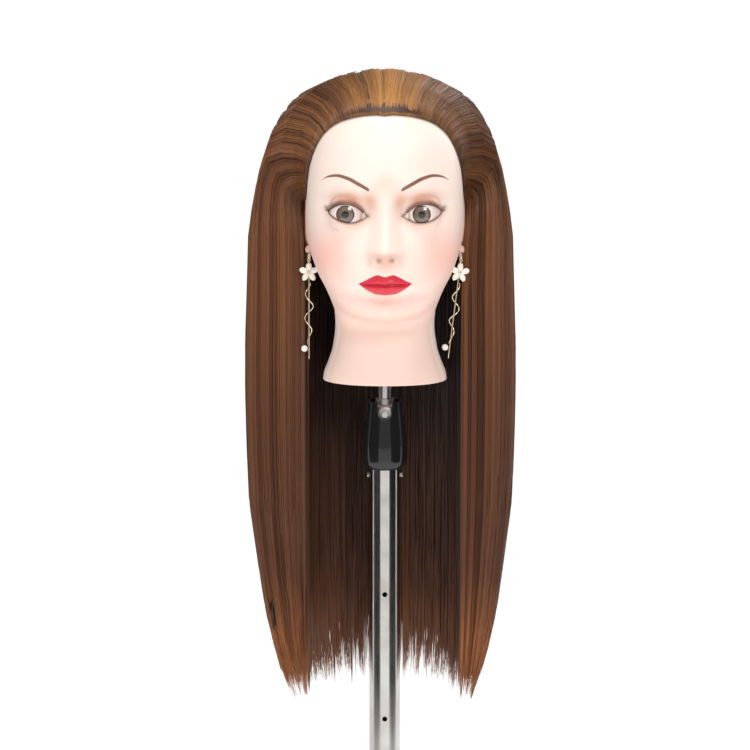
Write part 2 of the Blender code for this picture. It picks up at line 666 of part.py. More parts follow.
def head_levels():
    shares = [0, 0.026, 0.10, 0.17, 0.205, 0.23, 0.257, 0.286, 0.316, 0.351, 0.41, 0.47]
    shares += [0.54, 0.61, 0.68, 0.75, 0.81, 0.87, 0.915, 0.95, 0.98, 0.995, 1]
    return [HEAD_HEIGHT * share for share in shares]


def head_outlines():
    """Half width, front and back of the head by height above the bottom of the neck."""
    neck = NECK_WIDTH / 2
    half = HEAD_WIDTH / 2
    depth = HEAD_DEPTH / 2
    widths = [(0, neck), (0.022, neck * 0.98), (0.11, neck * 0.82), (0.184, neck * 0.775), (0.24, neck * 0.785)]
    widths += [(s, half * w) for s, w in ((0.28, 0.68), (0.32, 0.745), (0.37, 0.85), (0.46, 0.955), (0.57, 1.0))]
    widths += [(s, half * w) for s, w in ((0.70, 0.985), (0.81, 0.905), (0.9, 0.725), (0.955, 0.52), (0.99, 0.27))]
    widths += [(1, half * 0.06)]
    fronts = [(0, 0.545), (0.11, 0.505), (0.19, 0.485), (0.213, 0.60), (0.23, 0.84), (0.257, 0.945), (0.287, 0.965)]
    fronts += [(0.316, 0.935), (0.351, 1.0), (0.397, 0.98), (0.478, 0.95), (0.58, 0.925), (0.684, 1.0), (0.77, 0.995)]
    fronts += [(0.864, 0.885), (0.9375, 0.645), (0.98, 0.31), (1, 0.06)]
    backs = [(0, 0.545), (0.11, 0.475), (0.22, 0.495), (0.33, 0.626), (0.44, 0.818), (0.55, 0.949), (0.66, 1.0)]
    backs += [(0.77, 0.965), (0.864, 0.82), (0.9375, 0.57), (0.98, 0.29), (1, 0.08)]
    width = profile_curve([(s * HEAD_HEIGHT, w) for s, w in widths])
    front = profile_curve([(s * HEAD_HEIGHT, FACE_SHIFT - depth * d) for s, d in fronts])
    back = profile_curve([(s * HEAD_HEIGHT, FACE_SHIFT + depth * d) for s, d in backs])
    return width, front, back


def hollow_edges(z):
    """Half width twice, front and back of the hollow inside the head. Under the chin it keeps to the neck."""
    width, front, back = head_outlines()
    outer = max(z, 0) / (1 - HEAD_WALL / HEAD_HEIGHT)
    half = width(outer) - HEAD_WALL
    under_chin = 0.18 * HEAD_HEIGHT
    forward = front(under_chin if under_chin < outer < 0.32 * HEAD_HEIGHT else outer)
    return half, half, forward + HEAD_WALL, back(outer) - HEAD_WALL


def ear_shapes(side, margin):
    """The ear and its lobe as two balls, grown by a margin."""
    half = HEAD_WIDTH / 2
    place = (side * half, EAR_BACK, NECK_RISE + EAR_HEIGHT)
    ear = ball_shape(1, scale=[size + margin for size in EAR_SIZE])
    lobe_place = (side * EARRING_SPREAD, LOBE_BACK, NECK_RISE + LOBE_HEIGHT)
    return shift(ear, place), ball_shape(LOBE_RADIUS + margin, lobe_place)


def make_head(head, skin, eye, plastic):
    width, front, back = head_outlines()
    rings = [oval(NECK_RISE + z, width(z), width(z), front(z), back(z)) for z in head_levels()]
    shell = piece("head_shell", loft_shape(rings), head, skin)

    brow = front(HEAD_HEIGHT * 0.684)
    nose = []
    for share, half, reach in ((0.40, 0.009, 0.35), (0.415, 0.0135, 0.85), (0.44, 0.0145, 1.0), (0.48, 0.010, 0.72)):
        nose.append((share, half, brow - NOSE_REACH * reach))
    nose += [(0.55, 0.0075, brow - NOSE_REACH * 0.1), (0.62, 0.0065, brow + 0.003)]
    rings = [oval(NECK_RISE + s * HEAD_HEIGHT, half, half, y, brow + 0.03, 2, 12) for s, half, y in nose]
    boolean(shell, "UNION", loft_shape(rings))
    for side in (-1, 1):
        for shape in ear_shapes(side, 0):
            boolean(shell, "UNION", shape)

    levels = [-2 * HEAD_WALL] + [z * (1 - HEAD_WALL / HEAD_HEIGHT) for z in head_levels()[:-2]]
    hollow = [oval(NECK_RISE + z, *hollow_edges(z)) for z in levels]
    boolean(shell, "DIFFERENCE", loft_shape(hollow))

    for name, side in (("right", -1), ("left", 1)):
        place = (side * EYE_SPACING / 2, -EYE_DEPTH, NECK_RISE + EYE_HEIGHT)
        boolean(shell, "DIFFERENCE", ball_shape(EYE_RADIUS + RUN, place))
        eyeball = piece(f"eye_{name}", ball_shape(EYE_RADIUS), head, eye)
        eyeball.location = place
        hole = (side * EARRING_SPREAD, 0, NECK_RISE + STUD_HEIGHT)
        boolean(shell, "DIFFERENCE", bore(POST_RADIUS + GAP, "Y", (-0.03, 0.0125), hole, 8))

    low = SOCKET_FLANGE + 2 * GAP
    high = low + NECK_PLATE
    half, _, edge_front, edge_back = hollow_edges(high)
    half -= 2 * GAP
    edge = (edge_front + 2 * GAP, edge_back - 2 * GAP)
    rings = [oval(NECK_RISE + z, half, half, *edge) for z in (low, high)]
    plate = piece("neck_plate", loft_shape(rings), head, skin)
    boolean(plate, "DIFFERENCE", rod_shape(SOCKET_RADIUS + GAP, 0, 2 * NECK_RISE))

    fit = ROD_RADIUS + GAP
    roof = ROD_IN_NECK + GAP
    outline = [(SOCKET_FLANGE_RADIUS, GAP), (SOCKET_FLANGE_RADIUS, SOCKET_FLANGE), (SOCKET_RADIUS, SOCKET_FLANGE)]
    outline += [(SOCKET_RADIUS, SOCKET_LENGTH), (0, SOCKET_LENGTH), (0, roof), (fit, roof), (fit, GAP)]
    start = outline.index((0, SOCKET_LENGTH))
    profile = outline[start + 1 :] + outline[: start + 1]
    piece("neck_socket", shift(turned(profile), (0, 0, NECK_RISE)), head, plastic)


# Hair


def hair_outlines():
    """Share of the half width, front and back of the hair's outer surface by height above the bottom of the neck."""
    top = HEAD_HEIGHT + HAIR_TOP
    depth = HEAD_DEPTH / 2 + HAIR_BACK
    below = [(-1, 0.68), (-0.91, 0.765), (-0.72, 0.87), (-0.54, 0.93), (-0.36, 0.98)]
    above = [(0, 1.0), (0.43, 0.965), (0.61, 0.905), (0.735, 0.835), (0.81, 0.775), (0.9, 0.65), (0.95, 0.47)]
    above += [(0.982, 0.28), (1, 0.06)]
    width = profile_curve([(s * HAIR_DROP, w) for s, w in below] + [(s * top, w) for s, w in above])
    fronts = [(-1, 0.43), (0, 0.43), (0.43, 0.47), (0.64, 0.69), (0.75, 0.90), (0.84, 0.845), (0.9, 0.72)]
    fronts += [(0.94, 0.52), (0.975, 0.27), (1, 0.06)]
    front = profile_curve([(s * (top if s > 0 else HAIR_DROP), FACE_SHIFT - depth * d) for s, d in fronts])
    backs = [(-1, 0.82), (-0.54, 0.905), (0, 0.965), (0.36, 0.99), (0.54, 1.013), (0.64, 1.013), (0.75, 0.97)]
    backs += [(0.84, 0.84), (0.915, 0.62), (0.96, 0.36), (1, 0.06)]
    back = profile_curve([(s * (top if s > 0 else HAIR_DROP), FACE_SHIFT + depth * d) for s, d in backs])
    return width, front, back


def hair_envelope():
    share, front, back = hair_outlines()
    right = HEAD_WIDTH / 2 + HAIR_SIDE_RIGHT
    left = HEAD_WIDTH / 2 + HAIR_SIDE_LEFT
    top = HEAD_HEIGHT + HAIR_TOP
    levels = [-HAIR_DROP * s for s in (1, 0.88, 0.7, 0.5, 0.3)]
    levels += [top * s for s in (0, 0.25, 0.45, 0.58, 0.68, 0.75, 0.81, 0.87, 0.915, 0.95, 0.98, 1)]
    return loft_shape(
        [oval(NECK_RISE + z, right * share(z), left * share(z), front(z), back(z), 2.4) for z in levels]
    )


def hair_cavity():
    """Everything inside the hair: the head with a margin, and below it the open space round the neck and column."""
    width, front, back = head_outlines()
    wide = EAR_HEIGHT - 0.02
    rings = []
    for z in [-HAIR_DROP - 0.02] + head_levels():
        half = width(max(z, 0)) + SPLIT
        rear = back(max(z, 0)) + SPLIT
        if z < wide:
            half = max(half, HAIR_INNER_HALF)
        if z < HEAD_HEIGHT * 0.4:
            rear = max(rear, HAIR_INNER_BACK)
        rings.append(oval(NECK_RISE + z, half, half, front(max(z, 0)) - SPLIT, rear))
    half = width(HEAD_HEIGHT) + SPLIT
    edge = (front(HEAD_HEIGHT) - SPLIT, back(HEAD_HEIGHT) + SPLIT)
    rings.append(oval(NECK_RISE + HEAD_HEIGHT + SPLIT, half, half, *edge))
    return loft_shape(rings)


def face_opening():
    """In side view, what the hair leaves free: the face under the hairline, and all in front of the side locks."""
    low = -HAIR_DROP - 0.02
    line = [(-0.2, HAIRLINE), (-0.060, HAIRLINE), (-0.046, HAIRLINE - 0.006), (-0.034, HAIRLINE - 0.016)]
    line += [(-0.024, HAIRLINE - 0.032), (-0.015, HAIRLINE - 0.057), (-0.006, HAIRLINE - 0.092)]
    line += [(HAIR_FRONT, HAIRLINE - 0.117), (HAIR_FRONT, low), (-0.2, low)]
    return prism([(y, NECK_RISE + z) for y, z in line], "X")


def above_hang(radius):
    """Front view outline of what tilts with the head: inside a round the tilt pin's cylinder, and all above it."""
    arc = [(radius * cos(pi + pi * i / 24), radius * sin(pi + pi * i / 24)) for i in range(25)]
    return prism(arc + [(radius, 0.4), (-radius, 0.4)], "Y")


def hair_piece(name, parent, finish, region, hanging):
    hair = piece(name, hair_envelope(), parent, finish)
    boolean(hair, "DIFFERENCE", hair_cavity())
    boolean(hair, "DIFFERENCE", face_opening())
    if hanging:
        boolean(hair, "DIFFERENCE", above_hang(HANG_RADIUS + SPLIT / 2))
    else:
        boolean(hair, "INTERSECT", above_hang(HANG_RADIUS - SPLIT / 2))
        for side in (-1, 1):
            for shape in ear_shapes(side, 0.003):
                boolean(hair, "DIFFERENCE", shape)
    boolean(hair, "INTERSECT", region)


def make_hair(head, hang, hair):
    foot = NECK_RISE + CROWN_FOOT
    back = SIDE_TO_BACK + SPLIT
    crown = [(-0.2, foot + SPLIT), (back, foot + SPLIT), (back, -0.3), (0.2, -0.3), (0.2, 0.4), (-0.2, 0.4)]
    hair_piece("hair_crown", head, hair, prism(crown, "X"), False)
    hair_piece("hair_back_length", hang, hair, block((-0.2, back, -0.4), (0.2, 0.2, 0.4)), True)
    for name, low, high in (("right", -0.2, -SPLIT), ("left", SPLIT, 0.2)):
        side = block((low, -0.2, -0.4), (high, SIDE_TO_BACK, foot))
        hair_piece(f"hair_side_{name}", head, hair, side, False)
        length = block((low, -0.2, -0.4), (high, SIDE_TO_BACK, foot))
        hair_piece(f"hair_length_{name}", hang, hair, length, True)


# Earrings


def flower_outline():
    """Five round petals, the first one pointing up."""
    outline = []
    for i in range(PETALS * 8):
        angle = 2 * pi * i / (PETALS * 8) + pi / 2
        reach = FLOWER_RADIUS * (0.70 + 0.30 * cos(PETALS * (angle - pi / 2)))
        outline.append((reach * cos(angle), reach * sin(angle)))
    return outline


def make_earring(name, side, lean, head, gold, pearl, enamel):
    plane = LOBE_BACK - LOBE_RADIUS - GAP - STUD_RADIUS
    stud_z = NECK_RISE + STUD_HEIGHT
    loop_drop = STUD_RADIUS + LOOP_RADIUS
    stud_place = (side * EARRING_SPREAD, plane, stud_z)
    stud = piece(f"stud_{name}", ball_shape(STUD_RADIUS, stud_place, steps=10), head, gold)
    post = (0, LOBE_BACK + LOBE_RADIUS + POST_RADIUS - plane)
    boolean(stud, "UNION", bore(POST_RADIUS, "Y", post, stud_place, 8))
    loop = turn(torus_shape(LOOP_RADIUS, LOOP_WIRE, 12, 6), 90, "X")
    boolean(stud, "UNION", shift(loop, (stud_place[0], plane, stud_z - loop_drop)))

    pivot = (stud_place[0], plane, stud_z - loop_drop)
    drop = body(f"earring_{name}_body", pivot, head, (0, radians(lean), 0))
    link = turn(torus_shape(LINK_RADIUS, LINK_WIRE, 20, 6), 90, "Y")
    piece(f"link_{name}", shift(link, (0, 0, -LINK_RADIUS)), drop, gold)

    eye_reach = FLOWER_RADIUS - 2.2 * LINK_WIRE - LINK_WIRE
    centre = -2 * LINK_RADIUS - eye_reach
    thick = FLOWER_THICKNESS / 2
    bm = turn(slab_shape(flower_outline(), -thick, thick), 90, "X")
    flower = piece(f"flower_{name}", shift(bm, (0, 0, centre)), drop, enamel)
    boolean(flower, "DIFFERENCE", bore(2 * LINK_WIRE, "Y", (-0.01, 0.01), (0, 0, centre + eye_reach), 10))

    bar_y = thick + GAP + BAR_RADIUS
    bar_foot = centre - FLOWER_RADIUS - BAR_LENGTH
    bar = shift(rod_shape(BAR_RADIUS, bar_foot, centre, 8), (0, bar_y, 0))
    piece(f"drop_bar_{name}", bar, drop, gold)

    pearl_z = bar_foot + 0.0105
    vine_top = centre - FLOWER_RADIUS
    vine_foot = pearl_z + PEARL_RADIUS + GAP
    points = []
    for i in range(31):
        share = i / 30
        angle = 2 * pi * VINE_TURNS * share
        reach = VINE_REACH * (0.75 + 0.25 * cos(3 * angle / VINE_TURNS))
        points.append((reach * cos(angle), bar_y + reach * sin(angle), vine_top + (vine_foot - vine_top) * share))
    wire_piece(f"vine_{name}", points, VINE_WIRE, drop, gold)
    end = points[-1]
    piece(f"pearl_{name}", ball_shape(PEARL_RADIUS, (end[0], end[1], pearl_z), steps=12), drop, pearl)


def main():
    for obj in list(bpy.data.objects):
        bpy.data.objects.remove(obj)

    chrome = material("polished_chrome", (0.80, 0.80, 0.82), 0.12, 1.0)
    steel = material("bright_steel", (0.66, 0.66, 0.68), 0.25, 1.0)
    grey = material("grey_die_casting", (0.36, 0.37, 0.38), 0.45, 1.0)
    brass = material("brass", (0.75, 0.58, 0.28), 0.30, 1.0)
    painted = material("black_painted_steel", (0.03, 0.03, 0.035), 0.35)
    black = material("black_gloss_plastic", (0.012, 0.012, 0.013), 0.12)
    moulded = material("black_moulded_plastic", (0.03, 0.03, 0.032), 0.45)
    rubber = material("black_rubber", (0.02, 0.02, 0.02), 0.80)
    skin = material("soft_vinyl_skin", (0.90, 0.70, 0.62), 0.45)
    eye = material("eye_plastic", (0.55, 0.45, 0.40), 0.08)
    hair = material("brown_hair_fibre", (0.20, 0.075, 0.025), 0.45)
    gold = material("pale_gold", (0.88, 0.74, 0.48), 0.22, 1.0)
    enamel = material("white_enamel", (0.90, 0.88, 0.84), 0.20)
    pearl = material("pearl", (0.86, 0.80, 0.72), 0.15)

    stand = body("stand", (0, COLUMN_Y, 0))
    make_hub(stand, moulded, steel)
    make_leg_ring(stand, moulded, steel)
    for number in (1, 2, 3):
        make_leg(number, stand, chrome, painted, rubber)
    make_outer_column(stand, chrome, moulded)
    make_clamp(stand, moulded, steel, brass)

    column = body("column", (0, 0, INNER_TOP_Z), stand)
    make_inner_column(column, chrome, moulded, steel)
    base = body("joint_base", (0, 0, JOINT_RISE), column)
    sleeve = body("sleeve_body", (0, 0, 0), base)
    head = body("head", (0, 0, 0), base)
    hang = body("hair_hang", (0, 0, 0), head)
    make_joint(base, sleeve, head, grey, steel, black)
    make_head(head, skin, eye, moulded)
    make_hair(head, hang, hair)
    make_earring("right", -1, 0.0, head, gold, pearl, enamel)
    make_earring("left", 1, LEFT_LEAN, head, gold, pearl, enamel)


main()
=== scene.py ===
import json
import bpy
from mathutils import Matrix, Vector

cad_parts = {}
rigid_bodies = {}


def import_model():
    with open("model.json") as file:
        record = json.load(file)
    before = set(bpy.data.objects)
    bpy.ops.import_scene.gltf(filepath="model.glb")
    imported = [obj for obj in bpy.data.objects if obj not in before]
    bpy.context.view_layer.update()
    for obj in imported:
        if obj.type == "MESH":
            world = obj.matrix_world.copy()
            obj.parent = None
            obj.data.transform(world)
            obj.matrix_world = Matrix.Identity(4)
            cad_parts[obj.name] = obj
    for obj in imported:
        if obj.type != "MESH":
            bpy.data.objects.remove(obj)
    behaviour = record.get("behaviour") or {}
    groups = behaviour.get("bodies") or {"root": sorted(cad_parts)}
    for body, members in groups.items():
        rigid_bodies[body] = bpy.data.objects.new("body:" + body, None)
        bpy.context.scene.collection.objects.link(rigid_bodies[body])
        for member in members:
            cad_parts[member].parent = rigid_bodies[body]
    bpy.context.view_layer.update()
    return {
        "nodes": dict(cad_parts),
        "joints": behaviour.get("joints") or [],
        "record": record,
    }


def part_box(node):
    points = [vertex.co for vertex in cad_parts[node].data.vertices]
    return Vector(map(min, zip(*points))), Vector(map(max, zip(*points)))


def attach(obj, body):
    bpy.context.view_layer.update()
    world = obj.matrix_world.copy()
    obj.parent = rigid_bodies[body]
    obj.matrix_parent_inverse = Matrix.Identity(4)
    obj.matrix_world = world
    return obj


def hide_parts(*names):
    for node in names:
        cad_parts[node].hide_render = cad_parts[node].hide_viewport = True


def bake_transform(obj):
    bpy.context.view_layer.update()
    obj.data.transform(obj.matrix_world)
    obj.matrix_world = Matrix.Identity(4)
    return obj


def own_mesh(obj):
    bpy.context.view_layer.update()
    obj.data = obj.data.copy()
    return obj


bl_info = {
    "name": "Hairdressing practice head",
    "version": (1, 0, 0),
    "blender": (4, 5, 0),
    "location": "3D View > Sidebar > Practice head",
    "description": "Builds a practice head with long hair on a tilting holder and a folding tripod",
    "category": "Add Mesh",
}

from math import cos, pi, radians, sin, tan

import bmesh
import bpy
import numpy as np
from mathutils import Matrix, Vector

for leftover in list(bpy.data.objects):
    bpy.data.objects.remove(leftover)
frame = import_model()
JOINTS = {joint["name"]: joint for joint in frame["joints"]}
MM = 0.001

# Places that the frame gives
PIN = Vector(JOINTS["head_tilt"]["pos_m"])
NECK = Vector((0, PIN.y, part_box("head_shell")[0].z))  # middle of the neck's lower rim


# Curves and shapes


def smooth_curve(points):
    """A smooth function through (place, value) points that never overshoots them."""
    places, values = (np.array(column, float) for column in zip(*points))
    widths = np.diff(places)
    rises = np.diff(values) / widths
    both = rises[:-1] * rises[1:]
    total = np.where(both > 0, rises[:-1] + rises[1:], 1.0)
    inner = np.where(both > 0, 2 * both / total, 0.0)
    slopes = np.concatenate([rises[:1], inner, rises[-1:]])

    def value(place):
        place = np.clip(place, places[0], places[-1])
        i = np.clip(np.searchsorted(places, place, side="right") - 1, 0, len(widths) - 1)
        t = (place - places[i]) / widths[i]
        ends = values[i] * (1 + 2 * t) * (1 - t) ** 2 + values[i + 1] * t * t * (3 - 2 * t)
        return ends + widths[i] * t * (1 - t) * (slopes[i] * (1 - t) - slopes[i + 1] * t)

    return value


def ease(t):
    """0 before 0, 1 after 1, and smooth between."""
    t = np.clip(t, 0, 1)
    return t * t * (3 - 2 * t)


def hill(offset, width):
    return np.exp(-((offset / width) ** 2))


def joined_points(obj):
    points = np.empty(len(obj.data.vertices) * 3)
    obj.data.vertices.foreach_get("co", points)
    return points.reshape(-1, 3)


def store(mesh, name, values):
    """Keeps one number for each vertex, for the materials to read."""
    layer = mesh.attributes.new(name, "FLOAT", "POINT")
    layer.data.foreach_set("value", np.asarray(values, np.float32))


def linked(name, data):
    """A new object in the scene that holds data."""
    obj = bpy.data.objects.new(name, data)
    bpy.context.scene.collection.objects.link(obj)
    return obj


def new_piece(name, bm, material, smooth=180.0):
    """An object with the bmesh's shape. Edges sharper than smooth, in degrees, stay crisp."""
    mesh = bpy.data.meshes.new(name)
    bm.to_mesh(mesh)
    bm.free()
    mesh.materials.append(material)
    mesh.shade_smooth()
    if smooth < 180:
        mesh.set_sharp_from_angle(angle=radians(smooth))
    return linked(name, mesh)


def place_on(obj, body, slot, *nodes):
    """Puts a piece on a body and takes over from the CAD nodes."""
    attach(obj, body)
    if nodes:
        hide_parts(*nodes)
    return obj


def spun(bm, geom, steps, merge):
    """Spins an outline once round Z and joins it to itself."""
    bmesh.ops.spin(
        bm, geom=geom, cent=(0, 0, 0), axis=(0, 0, 1), angle=2 * pi, steps=steps, use_merge=True
    )
    bmesh.ops.remove_doubles(bm, verts=bm.verts, dist=merge)


def moved(bm, offset=(0, 0, 0), matrix=None):
    if matrix is not None:
        bmesh.ops.transform(bm, matrix=matrix, verts=bm.verts)
    bmesh.ops.translate(bm, vec=offset, verts=bm.verts)
    return bm


def tube_piece(name, splines, sides, look):
    """One piece of tapered closed tubes. Each spline is (points, radii)."""
    section = bpy.data.curves.new(name + "_section", "CURVE")
    rim = section.splines.new("POLY")
    rim.points.add(sides - 1)
    for i, point in enumerate(rim.points):
        angle = -2 * pi * i / sides
        point.co = (cos(angle), sin(angle), 0, 1)
    rim.use_cyclic_u = True
    section_object = linked(name + "_section", section)
    curve = bpy.data.curves.new(name, "CURVE")
    curve.dimensions = "3D"
    curve.bevel_mode = "OBJECT"
    curve.bevel_object = section_object
    curve.twist_mode = "MINIMUM"
    for points, radii in splines:
        spline = curve.splines.new("POLY")
        spline.points.add(len(points) - 1)
        spline.points.foreach_set("co", np.column_stack([points, np.ones(len(points))]).ravel())
        spline.points.foreach_set("radius", radii)
        spline.use_smooth = True
    holder = linked(name, curve)
    bpy.context.view_layer.update()
    graph = bpy.context.evaluated_depsgraph_get()
    mesh = bpy.data.meshes.new_from_object(holder.evaluated_get(graph))
    bpy.data.objects.remove(holder)
    bpy.data.objects.remove(section_object)
    mesh.name = name
    bm = bmesh.new()
    bm.from_mesh(mesh)
    bmesh.ops.holes_fill(bm, edges=[edge for edge in bm.edges if edge.is_boundary], sides=0)
    bm.to_mesh(mesh)
    bm.free()
    mesh.materials.append(material(look))
    return linked(name, mesh)


# Materials


class Nodes:
    """A material's nodes, with short ways to add and join them."""

    def __init__(self, name, roughness, metallic=0.0, **sockets):
        self.material = bpy.data.materials.new(name)
        self.material.use_nodes = True
        self.tree = self.material.node_tree
        self.shader = self.tree.nodes["Principled BSDF"]
        self.shader.inputs["Roughness"].default_value = roughness
        self.shader.inputs["Metallic"].default_value = metallic
        for socket, value in sockets.items():
            self.shader.inputs[socket.replace("_", " ")].default_value = value

    def add(self, kind, **settings):
        node = self.tree.nodes.new(kind)
        for name, value in settings.items():
            setattr(node, name, value)
        return node

    def link(self, source, target):
        self.tree.links.new(source, target)
        return target

    def place(self, scale=(1, 1, 1)):
        """Object coordinates, stretched by scale."""
        mapping = self.add("ShaderNodeMapping")
        mapping.inputs["Scale"].default_value = scale
        self.link(self.add("ShaderNodeTexCoord").outputs["Object"], mapping.inputs["Vector"])
        return mapping.outputs["Vector"]

    def noise(self, scale, detail=3.0, roughness=0.5, stretch=(1, 1, 1)):
        node = self.add("ShaderNodeTexNoise")
        node.inputs["Scale"].default_value = scale
        node.inputs["Detail"].default_value = detail
        node.inputs["Roughness"].default_value = roughness
        self.link(self.place(stretch), node.inputs["Vector"])
        return node.outputs["Fac"]

    def attribute(self, name):
        return self.add("ShaderNodeAttribute", attribute_name=name).outputs["Fac"]

    def span(self, value, low, high, to_low=0.0, to_high=1.0):
        """Maps low..high to to_low..to_high, smoothly and clamped."""
        node = self.add("ShaderNodeMapRange", interpolation_type="SMOOTHSTEP")
        for socket, number in zip(("From Min", "From Max", "To Min", "To Max"), (low, high, to_low, to_high)):
            node.inputs[socket].default_value = number
        self.link(value, node.inputs["Value"])
        return node.outputs["Result"]

    def math(self, operation, first, second):
        node = self.add("ShaderNodeMath", operation=operation)
        for socket, value in zip(node.inputs, (first, second)):
            if isinstance(value, (int, float)):
                socket.default_value = value
            else:
                self.link(value, socket)
        return node.outputs["Value"]

    def mix(self, share, first, second, blend="MIX"):
        """Two colours mixed; each is a tuple or an output."""
        node = self.add("ShaderNodeMix", data_type="RGBA", blend_type=blend)
        for socket, value in ((node.inputs[0], share), (node.inputs[6], first), (node.inputs[7], second)):
            if isinstance(value, tuple):
                socket.default_value = (*value, 1.0)
            elif isinstance(value, (int, float)):
                socket.default_value = value
            else:
                self.link(value, socket)
        return node.outputs[2]

    def colour(self, output):
        self.link(output, self.shader.inputs["Base Color"])
        return self

    def rough(self, output):
        self.link(output, self.shader.inputs["Roughness"])
        return self

    def bump(self, height, distance, strength=1.0):
        node = self.add("ShaderNodeBump")
        node.inputs["Distance"].default_value = distance
        node.inputs["Strength"].default_value = strength
        self.link(height, node.inputs["Height"])
        self.link(node.outputs["Normal"], self.shader.inputs["Normal"])
        return self


def skin_material():
    nodes = Nodes(
        "soft_vinyl_skin", 0.42, Subsurface_Weight=0.12, Subsurface_Scale=0.006, Specular_IOR_Level=0.4
    )
    nodes.shader.inputs["Subsurface Radius"].default_value = (1.0, 0.45, 0.30)
    mottle = nodes.noise(38.0)
    skin = nodes.mix(mottle, (0.93, 0.735, 0.64), (0.95, 0.79, 0.71))
    skin = nodes.mix(nodes.math("MULTIPLY", nodes.attribute("blush"), 0.80), skin, (0.92, 0.47, 0.38))
    # Salmon paint: make-up round the eyes and brows, and painted shade under the nose, in the crease over the
    # chin, under the chin and on the neck.
    skin = nodes.mix(nodes.math("MULTIPLY", nodes.attribute("shadow"), 0.75), skin, (0.62, 0.27, 0.16))
    # Dark brown eye liner; the same colour paints shade into the nostrils and darkens the scalp behind the
    # hairline.
    skin = nodes.mix(nodes.math("MULTIPLY", nodes.attribute("liner"), 0.92), skin, (0.095, 0.028, 0.016))
    hairs = nodes.noise(420.0, 2.0, stretch=(0.35, 1.0, 1.6))
    brow = nodes.mix(hairs, (0.17, 0.065, 0.04), (0.33, 0.15, 0.10))
    skin = nodes.mix(nodes.span(nodes.attribute("brow_edge"), -0.55, 0.35), skin, brow)
    lip_tone = nodes.mix(nodes.noise(160.0, 2.0), (0.62, 0.022, 0.045), (0.72, 0.05, 0.075))
    lips = nodes.span(nodes.attribute("lip_edge"), -0.35, 0.35)
    nodes.colour(nodes.mix(lips, skin, lip_tone))
    grain = nodes.noise(900.0, 2.0)
    rough = nodes.span(grain, 0.3, 0.7, 0.40, 0.50)
    nodes.rough(nodes.math("SUBTRACT", rough, nodes.math("MULTIPLY", lips, 0.22)))
    return nodes.bump(grain, 0.00006, 0.35).material


def eye_material():
    nodes = Nodes("eye_plastic", 0.06, Coat_Weight=0.6, Coat_Roughness=0.03, Specular_IOR_Level=0.6)
    reach = nodes.attribute("iris_reach")
    streaks = nodes.noise(900.0, 3.0, stretch=(1.0, 0.4, 1.0))
    iris = nodes.mix(streaks, (0.085, 0.052, 0.036), (0.25, 0.175, 0.13))
    ring = nodes.mix(nodes.span(reach, 0.78, 1.0), iris, (0.028, 0.017, 0.013))
    pupil = nodes.mix(nodes.span(reach, 0.36, 0.46), (0.004, 0.004, 0.005), ring)
    white = nodes.mix(nodes.span(reach, 1.1, 2.1), (0.80, 0.70, 0.66), (0.62, 0.42, 0.36))
    veins = nodes.span(nodes.noise(260.0, 4.0), 0.62, 0.75, 0.0, 0.10)
    white = nodes.mix(veins, white, (0.70, 0.25, 0.22))
    return nodes.colour(nodes.mix(nodes.span(reach, 0.97, 1.06), pupil, white)).material


def hair_material():
    nodes = Nodes("brown_hair_fibre", 0.40, Specular_IOR_Level=0.45)
    tone = nodes.attribute("tone")
    body = nodes.mix(nodes.span(tone, 0.0, 1.0), (0.060, 0.019, 0.009), (0.215, 0.082, 0.028))
    streak = nodes.noise(70.0, 3.0, stretch=(1.0, 1.0, 0.02))
    body = nodes.mix(nodes.span(streak, 0.35, 0.7, 0.0, 0.55), body, (0.16, 0.048, 0.017))
    # Painted highlight: a warm gold band where the light from above falls on the top of the hair.
    body = nodes.mix(nodes.math("MULTIPLY", nodes.attribute("painted_highlight"), 0.85), body, (0.56, 0.265, 0.075))
    body = nodes.mix(nodes.attribute("tip"), body, (0.56, 0.195, 0.060))
    # Painted shade: the depth attribute darkens the under and inner strands and the bed towards near-black,
    # as the shade inside the hair.
    body = nodes.mix(nodes.math("MULTIPLY", nodes.attribute("depth"), 0.93), body, (0.011, 0.0045, 0.0035))
    return nodes.colour(body).rough(nodes.span(streak, 0.2, 0.8, 0.34, 0.50)).material


def metal_material(name, colour, darker, roughness, brush=(1, 1, 0.02), scale=500.0, spread=0.08):
    nodes = Nodes(name, roughness, 1.0)
    lines = nodes.noise(scale, 3.0, 0.6, brush)
    patch = nodes.noise(24.0, 3.0)
    nodes.colour(nodes.mix(nodes.span(patch, 0.35, 0.7), colour, darker))
    nodes.rough(nodes.span(nodes.mix(0.5, lines, patch), 0.3, 0.7, roughness, roughness + spread))
    return nodes.bump(lines, 0.00003, 0.25).material


def plastic_material(name, colour, roughness, grain=0.5, scale=700.0, spread=0.1):
    nodes = Nodes(name, roughness, Specular_IOR_Level=0.5)
    pits = nodes.noise(scale, 2.0)
    wear = nodes.noise(30.0, 4.0, 0.6)
    lighter = tuple(min(1.0, c * 1.7 + 0.004) for c in colour)
    nodes.colour(nodes.mix(nodes.span(wear, 0.55, 0.8, 0.0, 0.6), colour, lighter))
    nodes.rough(nodes.span(wear, 0.3, 0.75, roughness, roughness + spread))
    return nodes.bump(pits, 0.00008, grain).material


MATERIALS = {}


